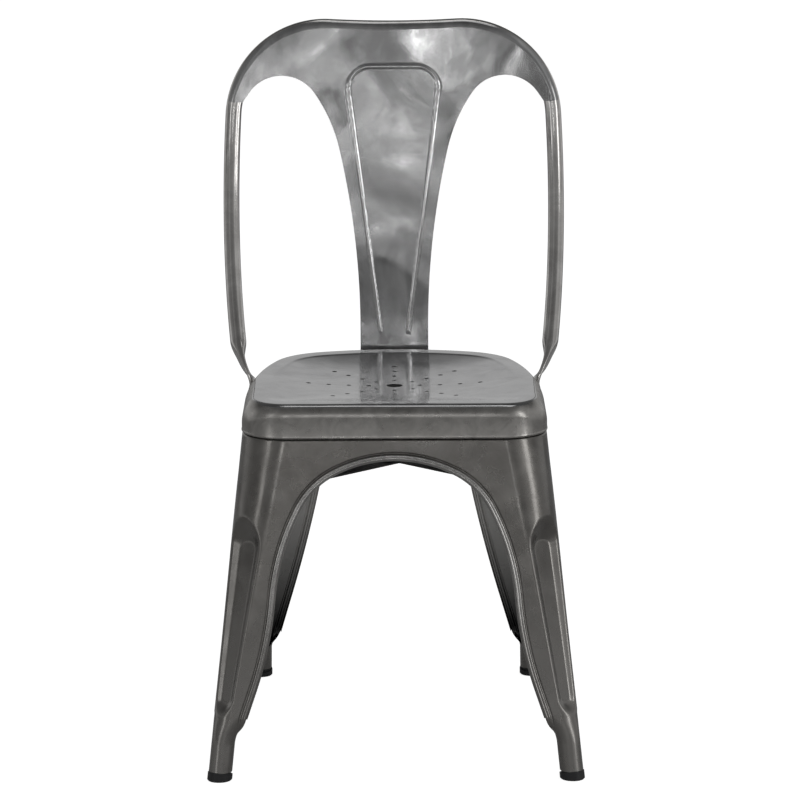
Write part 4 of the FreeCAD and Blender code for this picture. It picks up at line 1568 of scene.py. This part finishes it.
    def ring(self, section: Section) -> Points:
        """One closed section, with the weld seam on the steep round part.

        Args:
            section: Where it lies and how flat it is.

        Returns:
            Points round the section.
        """
        thick, power = section.thick, section.power
        wide = np.cross(section.along, thick)
        a = 2 * math.pi * (np.arange(self.parts) + 0.5) / self.parts
        c, s = np.cos(a), np.sin(a)
        if power == 2.0 and abs(section.along[2]) > 0.75:
            turn = np.degrees(np.arctan2(c * thick[1] + s * wide[1], -(c * thick[0] + s * wide[0])))
            gap = (turn + 90.0 - self.seam_turn) / self.seam_half
            rise = 1.0 + self.seam_rise / section.half_thick * np.clip(1.0 - gap ** 2, 0.0, 1.0) ** 0.5
            u, w = c * section.half_thick * rise, s * section.half_wide * rise
        else:
            u = np.sign(c) * np.abs(c) ** (2 / power) * section.half_thick
            w = np.sign(s) * np.abs(s) ** (2 / power) * section.half_wide
        return section.spot + u[:, None] * thick + w[:, None] * wide

    def build(self, finish: bpy.types.Material) -> bpy.types.Object:
        """Make and dress the hoop.

        Args:
            finish: Tube material.

        Returns:
            The hoop object.
        """
        rings = []
        for section in self.stations():
            ring = self.ring(section)
            if rings:
                turns = [np.linalg.norm(np.roll(ring, k, axis=0) - rings[-1]) for k in range(self.parts)]
                ring = np.roll(ring, int(np.argmin(turns)), axis=0)
            rings.append(ring)
        half = np.array(rings)
        maker = MeshMaker("back_hoop_tube")
        maker.grid(half, loop=True)
        maker.grid(half * MIRROR, loop=True, flip=True)
        for end in (len(half), 2 * len(half)):
            maker.faces.append(tuple(range((end - 1) * self.parts, end * self.parts)))
        made = maker.make(weld=self.weld)
        turn_faces(made, outwards)
        made.data.set_sharp_from_angle(angle=math.radians(self.sharp))
        made.data.materials.append(finish)
        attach(made, "root")
        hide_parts("back_hoop")
        return made


@dataclass
class BackSplat:
    """Waisted splat and top panel pressed from one sheet, with its raised bead."""

    foot_y: float = 182.3
    bottom: float = 404.0
    bend_z: float = 456.0
    sheet: float = 1.2
    peak: tuple[float, float] = (140.0, 782.0)
    waist: Chain = ((50.0, 55.0), (200.0, 22.0), (984.0, 13.0))
    outer: Chain = ((50.0, 55.0),)
    tip_degrees: float = 11.0
    wrap_degrees: float = 48.0
    bead_rise: float = 1.7
    bead_half: float = 3.2
    bead_top: float = 793.0
    bead_top_half: float = 60.0
    bead_low: float = 462.0
    bead_low_half: float = 17.5
    bead_corner: float = 27.0
    bead_edge: float = 0.35
    seam: float = 0.3
    top_rise: float = 4.0
    tip_slope: float = 55.0
    waist_stops: tuple[float, float] = (690.0, 742.0)
    window_start: float = 772.0
    middle_stops: tuple[float, float] = (690.0, 765.0)
    rim_stops: tuple[float, float] = (0.36, 0.68)
    waist_counts: tuple[int, int, int] = (115, 60, 66)
    window_count: int = 40
    across: int = 60

    @property
    def reach(self) -> float:
        """Distance from the tube's middle line to the sheet's front face."""
        return PLANE.radius + self.seam + self.sheet

    def side_y(self, z: Points) -> Points:
        """Front face's y: upright at the foot, then a bend, then the hoop's lean.

        Args:
            z: Heights.

        Returns:
            The y of each height.
        """
        lean = math.radians(PLANE.lean)
        top = PLANE.at(0.0, -self.top_rise)
        top_y = top[1] - self.reach / math.cos(lean)
        corner_z = top[2] + (self.foot_y - top_y) / math.tan(lean)
        radius = (corner_z - self.bend_z) / math.tan(lean / 2)
        end_z = self.bend_z + radius * math.sin(lean)
        z = np.asarray(z, float)
        turn = np.arcsin(np.clip((z - self.bend_z) / radius, 0.0, math.sin(lean)))
        return self.foot_y + radius * (1 - np.cos(turn)) + np.clip(z - end_z, 0.0, None) * math.tan(lean)

    def window_edge(self) -> Points:
        """Edge from the splat's foot up its waist, over the window and out to the tip.

        Returns:
            Flat (x, z) points.
        """
        waist = tangent_arcs(self.waist, 0.0)[:-1]
        waist = np.column_stack([self.peak[0] - waist[:, 0], self.peak[1] + waist[:, 1]])[::-1]
        outer = tangent_arcs(self.outer, 0.0)[:-1]
        outer = np.column_stack([self.peak[0] + outer[:, 0], self.peak[1] + outer[:, 1]])
        foot = np.linspace((waist[0, 0], self.bottom), waist[0], 12)[:-1]
        tip = self.rim_point(np.array([self.tip_degrees]))[0]
        slope = math.radians(self.tip_slope)
        drop = outer[-1, 1] - tip[1]
        notch = np.array([outer[-1, 0] + drop / math.tan(slope), tip[1]])
        tail = np.linspace(outer[-1], notch, 12)[1:]
        return np.concatenate([foot, waist, outer[1:], tail])

    def rim_point(self, degrees: Points) -> Points:
        """Middle line of the tube on the shoulder.

        Args:
            degrees: Angles on the shoulder arc.

        Returns:
            Flat (x, z) points.
        """
        flat = PLANE.corner_arc(degrees)
        space = PLANE.at(flat[:, 0], flat[:, 1])
        return space[:, [0, 2]]

    def border(self) -> Points:
        """Middle line of the hoop, from its top middle to the splat's tip.

        Returns:
            Flat (x, z) points.
        """
        rail = PLANE.rail(60)
        rail = PLANE.at(rail[:, 0], rail[:, 1])[:, [0, 2]]
        shoulder = self.rim_point(np.linspace(90 + PLANE.tilt, self.tip_degrees, 120))[1:]
        return np.concatenate([rail, shoulder])

    def rulings(self) -> tuple[Points, Points]:
        """Match the window edge with the opposite border: the middle line, then the hoop.

        Returns:
            Flat points on the edge, and as many on the border.
        """
        edge, rim = self.window_edge(), self.border()
        steps, rim_steps = lengths_along(edge), lengths_along(rim)
        peak = int(np.argmax(edge[:, 1]))
        waist_heights = (*self.waist_stops, self.window_start)
        stops = np.interp(waist_heights, edge[: peak + 1, 1], steps[: peak + 1])
        halfway = steps[peak] + (steps[-1] - steps[peak]) * 0.5
        keys = [0.0, *stops, steps[peak], halfway, steps[-1]]
        middle = [self.bottom, *self.middle_stops, rim[0, 1]]
        marks = [0.0, *(rim_steps[-1] * share for share in self.rim_stops), rim_steps[-1]]
        goals = list(zip(middle, middle[1:])) + list(zip(marks, marks[1:]))
        counts = [*self.waist_counts, *[self.window_count] * 3]
        on_edge, on_border = [], []
        for k, (count, (start, end)) in enumerate(zip(counts, goals)):
            share = np.linspace(0, 1, count, endpoint=k == len(counts) - 1)
            on_edge.append(at_lengths(edge, steps, keys[k] + (keys[k + 1] - keys[k]) * share))
            run = start + (end - start) * share
            upright = np.column_stack([np.zeros(count), run])
            on_border.append(upright if k < 3 else at_lengths(rim, rim_steps, run))
        return np.concatenate(on_edge), np.concatenate(on_border)

    def bead_path(self) -> Points:
        """Middle line of the bead's right half.

        Returns:
            Flat (x, z) points.
        """
        slope = (self.bead_top_half - self.bead_low_half) / (self.bead_top - self.bead_low)
        lean = math.atan(slope)
        cut = self.bead_corner * math.tan((math.pi / 2 + lean) / 2)
        start = np.array([self.bead_top_half - cut * math.sin(lean), self.bead_top - cut * math.cos(lean)])
        centre = (self.bead_top_half - cut, self.bead_top - self.bead_corner)
        bend = arc_points(centre, self.bead_corner, -math.degrees(lean), 90.0, 24)
        return np.concatenate([[(self.bead_low_half, self.bead_low)], [start], bend, [(0.0, self.bead_top)]])

    def raise_bead(self, flat: Points) -> Points:
        """Height of the bead over the sheet.

        Args:
            flat: N x 2 points.

        Returns:
            N heights.
        """
        right = np.column_stack([np.abs(flat[:, 0]), flat[:, 1]])
        gap = path_distance(right, self.bead_path())
        return self.bead_rise * np.clip(1.0 - (gap / self.bead_half) ** 2, 0.0, 1.0) ** 1.5

    def place(self, flat: Points) -> Points:
        """Put flat points on the curved front face, with the bead raised.

        Args:
            flat: N x 2 points.

        Returns:
            N x 3 points.
        """
        y = self.side_y(flat[:, 1])
        slope = self.side_y(flat[:, 1] + 0.5) - self.side_y(flat[:, 1] - 0.5)
        normal = unit(np.column_stack([np.zeros(len(flat)), -np.ones(len(flat)), slope]))
        return np.column_stack([flat[:, 0], y, flat[:, 1]]) + self.raise_bead(flat)[:, None] * normal

    def build(self, finish: bpy.types.Material, bead: bpy.types.Material) -> bpy.types.Object:
        """Make and dress the splat.

        Args:
            finish: Sheet material.
            bead: Brighter material of the bead, a painted highlight.

        Returns:
            The splat object.
        """
        edge, border = self.rulings()
        shares = np.r_[0.0, np.linspace(0.012, 1.0, self.across)][None, :, None]
        flat = edge[:, None, :] * (1 - shares) + border[:, None, :] * shares
        front = self.place(flat.reshape(-1, 2)).reshape(len(edge), -1, 3)
        maker = MeshMaker("back_splat_sheet")
        for block in (front, self.wrap(border[sum(self.waist_counts):])):
            maker.grid(block)
            maker.grid(block * MIRROR, flip=True)
        made = maker.make(weld=0.05)
        turn_faces(made, forwards)
        made.data.materials.append(finish)
        made.data.materials.append(bead)
        # Faces high on the bead take slot 1, the painted highlight.
        centres = np.array([(face.center.x, face.center.z) for face in made.data.polygons]) / MM
        for face, rise in zip(made.data.polygons, self.raise_bead(centres)):
            face.material_index = int(rise > self.bead_edge)
        made = settle(made, self.sheet, 50.0)
        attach(made, "root")
        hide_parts("back_splat")
        return made

    def wrap(self, border: Points) -> Points:
        """Strip of sheet that folds over the hoop from its front to its top.

        Args:
            border: Flat points along the hoop.

        Returns:
            Rows of points along the hoop.
        """
        y = self.side_y(border[:, 1])
        base = np.column_stack([border[:, 0], y, border[:, 1]])
        along = unit(np.gradient(base, axis=0))
        along[0] = X_AXIS
        outward = np.cross(along, PLANE.normal)
        outward *= np.sign(outward[0, 2])
        centre = base + PLANE.normal * self.reach
        strips = [base]
        for degrees in np.linspace(8.0, self.wrap_degrees, 8):
            a = math.radians(degrees)
            strips.append(centre + (outward * math.sin(a) - PLANE.normal * math.cos(a)) * self.reach)
        return np.stack(strips, axis=1)


# Fittings that keep their solids

class Fittings:
    """Small parts whose solids stay as they are and only get a finish."""

    def dress(self) -> None:
        """Assign a finish to each node by its name."""
        made = {finish: finish.material() for finish in dict.fromkeys(FITTING_FINISHES.values())}
        for name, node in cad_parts.items():
            finish = next((known for key, known in FITTING_FINISHES.items() if key in name), None)
            if finish is None:
                continue
            node.data.materials.clear()
            node.data.materials.append(made[finish])
            LOG.info("dressed %s with %s", name, finish.name)


# Studio

@dataclass
class Studio:
    """Camera, floor, backdrop and soft lights."""

    distance: float = 5.0
    camera_height: float = 1.4455
    camera_x: float = 0.0067
    pitch: float = 0.2041
    roll: float = -0.0046
    lens: float = 188.11125
    floor_grey: float = 0.78
    floor_glow: float = 0.9
    floor_half: float = 12.0
    rear_span: tuple[float, float] = (0.05, 0.45)
    side_tones: Chain = (
        (-1.0, 0.05), (-0.62, 0.05), (-0.50, 0.16), (-0.36, 0.08),
        (0.0, 0.06), (0.45, 0.10), (0.62, 0.30), (1.0, 0.16),
    )
    height_tones: Chain = (
        (-0.3, 0.25), (0.0, 0.46), (0.06, 0.30), (0.12, 0.05), (0.20, 0.10),
        (0.26, 0.30), (0.37, 0.12), (0.50, 0.16), (0.74, 0.10), (1.0, 0.05),
    )
    rear_tones: Chain = ((-1.0, 0.46), (0.30, 0.46), (0.48, 0.10), (1.0, 0.06))
    boxes: tuple = (
        ("top_box", (0.2, 0.6, 2.6), (0.0, 0.1, 0.4), (1.2, 0.5), 1.6),
        ("left_strip", (-0.72, -4.0, 1.25), (-0.1, 0.0, 0.8), (0.30, 0.9), 2.2),
        ("streak_left", (-0.13, -4.1, 1.30), (0.0, 0.0, 0.8), (0.04, 0.7), 0.26),
        ("streak_right", (0.06, -4.1, 1.25), (0.0, 0.0, 0.8), (0.05, 0.8), 0.62),
        ("panel_left", (-0.20, -4.1, 1.95), (0.0, 0.0, 0.8), (0.18, 0.26), 0.6),
        ("panel_middle", (0.03, -4.1, 1.98), (0.0, 0.0, 0.8), (0.09, 0.20), 0.18),
        ("right_strip", (0.85, -4.0, 1.25), (0.1, 0.0, 0.8), (0.26, 0.9), 1.6),
        ("left_wall", (-2.5, -2.5, 1.0), (0.0, 0.0, 0.6), (0.55, 1.8), 3.3),
        ("right_wall", (2.6, -1.6, 1.1), (0.0, 0.0, 0.6), (0.60, 1.8), 7.0),
    )

    def camera(self) -> None:
        """Place the camera where the photograph was taken from."""
        data = bpy.data.cameras.new("camera")
        data.sensor_width = 36.0
        data.lens = self.lens
        eye = bpy.data.objects.new("camera", data)
        bpy.context.scene.collection.objects.link(eye)
        turn = Matrix.Rotation(math.pi / 2 - self.pitch, 4, "X") @ Matrix.Rotation(self.roll, 4, "Z")
        place = Matrix.Translation((self.camera_x, -self.distance, self.camera_height))
        eye.matrix_world = place @ turn
        bpy.context.scene.camera = eye

    def floor(self) -> None:
        """Pale floor that the camera sees as white."""
        half = self.floor_half
        corners = [(-half, -half, 0), (half, -half, 0), (half, half, 0), (-half, half, 0)]
        mesh = bpy.data.meshes.new("studio_floor")
        mesh.from_pydata(corners, [], [(0, 1, 2, 3)])
        floor = bpy.data.objects.new("studio_floor", mesh)
        bpy.context.scene.collection.objects.link(floor)
        material, bench, main = shader("floor_pale")
        bench.fill(main, Base_Color=(*grey(self.floor_grey), 1.0), Roughness=0.9)
        glow = bench.add("Emission", Strength=self.floor_glow)
        both = bench.add("AddShader")
        bench.tree.links.new(main.outputs["BSDF"], both.inputs[0])
        bench.tree.links.new(glow.outputs["Emission"], both.inputs[1])
        out = bench.first("OUTPUT_MATERIAL")
        bench.camera_switch(main.outputs["BSDF"], both.outputs["Shader"], out)
        mesh.materials.append(material)

    def world(self) -> None:
        """White for the camera, and a soft studio for everything else."""
        world = bpy.data.worlds.new("studio")
        bpy.context.scene.world = world
        world.use_nodes = True
        bench = NodeBench(world.node_tree)
        place = bench.add("TexCoord").outputs["Generated"]
        way = bench.add("SeparateXYZ", Vector=place)
        sides = self.tones(bench, way.outputs["X"], self.side_tones)
        heights = self.tones(bench, way.outputs["Z"], self.height_tones)
        front = bench.add("MixRGB", Fac=1.0, Color1=sides, Color2=heights)
        front.blend_type = "ADD"
        rear = self.tones(bench, way.outputs["Z"], self.rear_tones)
        behind = bench.eased(way.outputs["Y"], *self.rear_span)
        soft = bench.first("BACKGROUND")
        bench.fill(soft, Color=bench.blend(behind, front.outputs["Color"], rear), Strength=1.0)
        white = bench.add("Background", Color=(1.0, 1.0, 1.0, 1.0))
        out = bench.first("OUTPUT_WORLD")
        bench.camera_switch(soft.outputs["Background"], white.outputs["Background"], out)

    def tones(self, bench: NodeBench, value: Socket, tones: Chain) -> Socket:
        """Grey tones along one direction of the room.

        Args:
            bench: The world's nodes.
            value: Direction part from -1 to 1.
            tones: Pairs of direction and grey.

        Returns:
            The colour.
        """
        level = bench.add("MapRange", Value=value, From_Min=-1.0).outputs["Result"]
        return bench.ramp(level, [((spot + 1) / 2, grey(tone)) for spot, tone in tones])

    def lamp(self, name: str, place: tuple, aim: tuple, size: tuple, power: float) -> None:
        """One soft box.

        Args:
            name: Lamp name.
            place: Position in metres.
            aim: Point it faces.
            size: Width and height in metres.
            power: Watts.
        """
        data = bpy.data.lights.new(name, "AREA")
        data.shape = "RECTANGLE"
        data.size, data.size_y = size
        data.energy = power
        lamp = bpy.data.objects.new(name, data)
        bpy.context.scene.collection.objects.link(lamp)
        turn = (Vector(aim) - Vector(place)).to_track_quat("-Z", "Y").to_matrix().to_4x4()
        lamp.matrix_world = Matrix.Translation(place) @ turn

    def build(self) -> None:
        """Make the whole studio."""
        self.camera()
        self.floor()
        self.world()
        for name, place, aim, size, power in self.boxes:
            self.lamp(name, place, aim, size, power)
        bpy.context.scene.view_settings.view_transform = "Standard"


def main() -> None:
    """Build the chair's dressed pieces and the studio."""
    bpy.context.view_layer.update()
    Studio().build()
    LOG.info("seat: %s", SeatPan().build().name)
    frame_steel, tube_steel, back_steel, edge_highlight_steel, bead_highlight_steel = (
        finish.material() for finish in (FRAME_STEEL, TUBE_STEEL, BACK_STEEL, LEG_EDGE_HIGHLIGHT_STEEL, BEAD_HIGHLIGHT_STEEL)
    )
    for end in End:
        for side in Side:
            LOG.info("leg: %s", SheetLeg(end, side).build(frame_steel, edge_highlight_steel).name)
    LOG.info("hoop: %s", BackHoop().build(tube_steel).name)
    LOG.info("splat: %s", BackSplat().build(back_steel, bead_highlight_steel).name)
    Fittings().dress()
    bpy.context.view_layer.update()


if __name__ == "__main__":
    logging.basicConfig(level=logging.INFO)
    main()
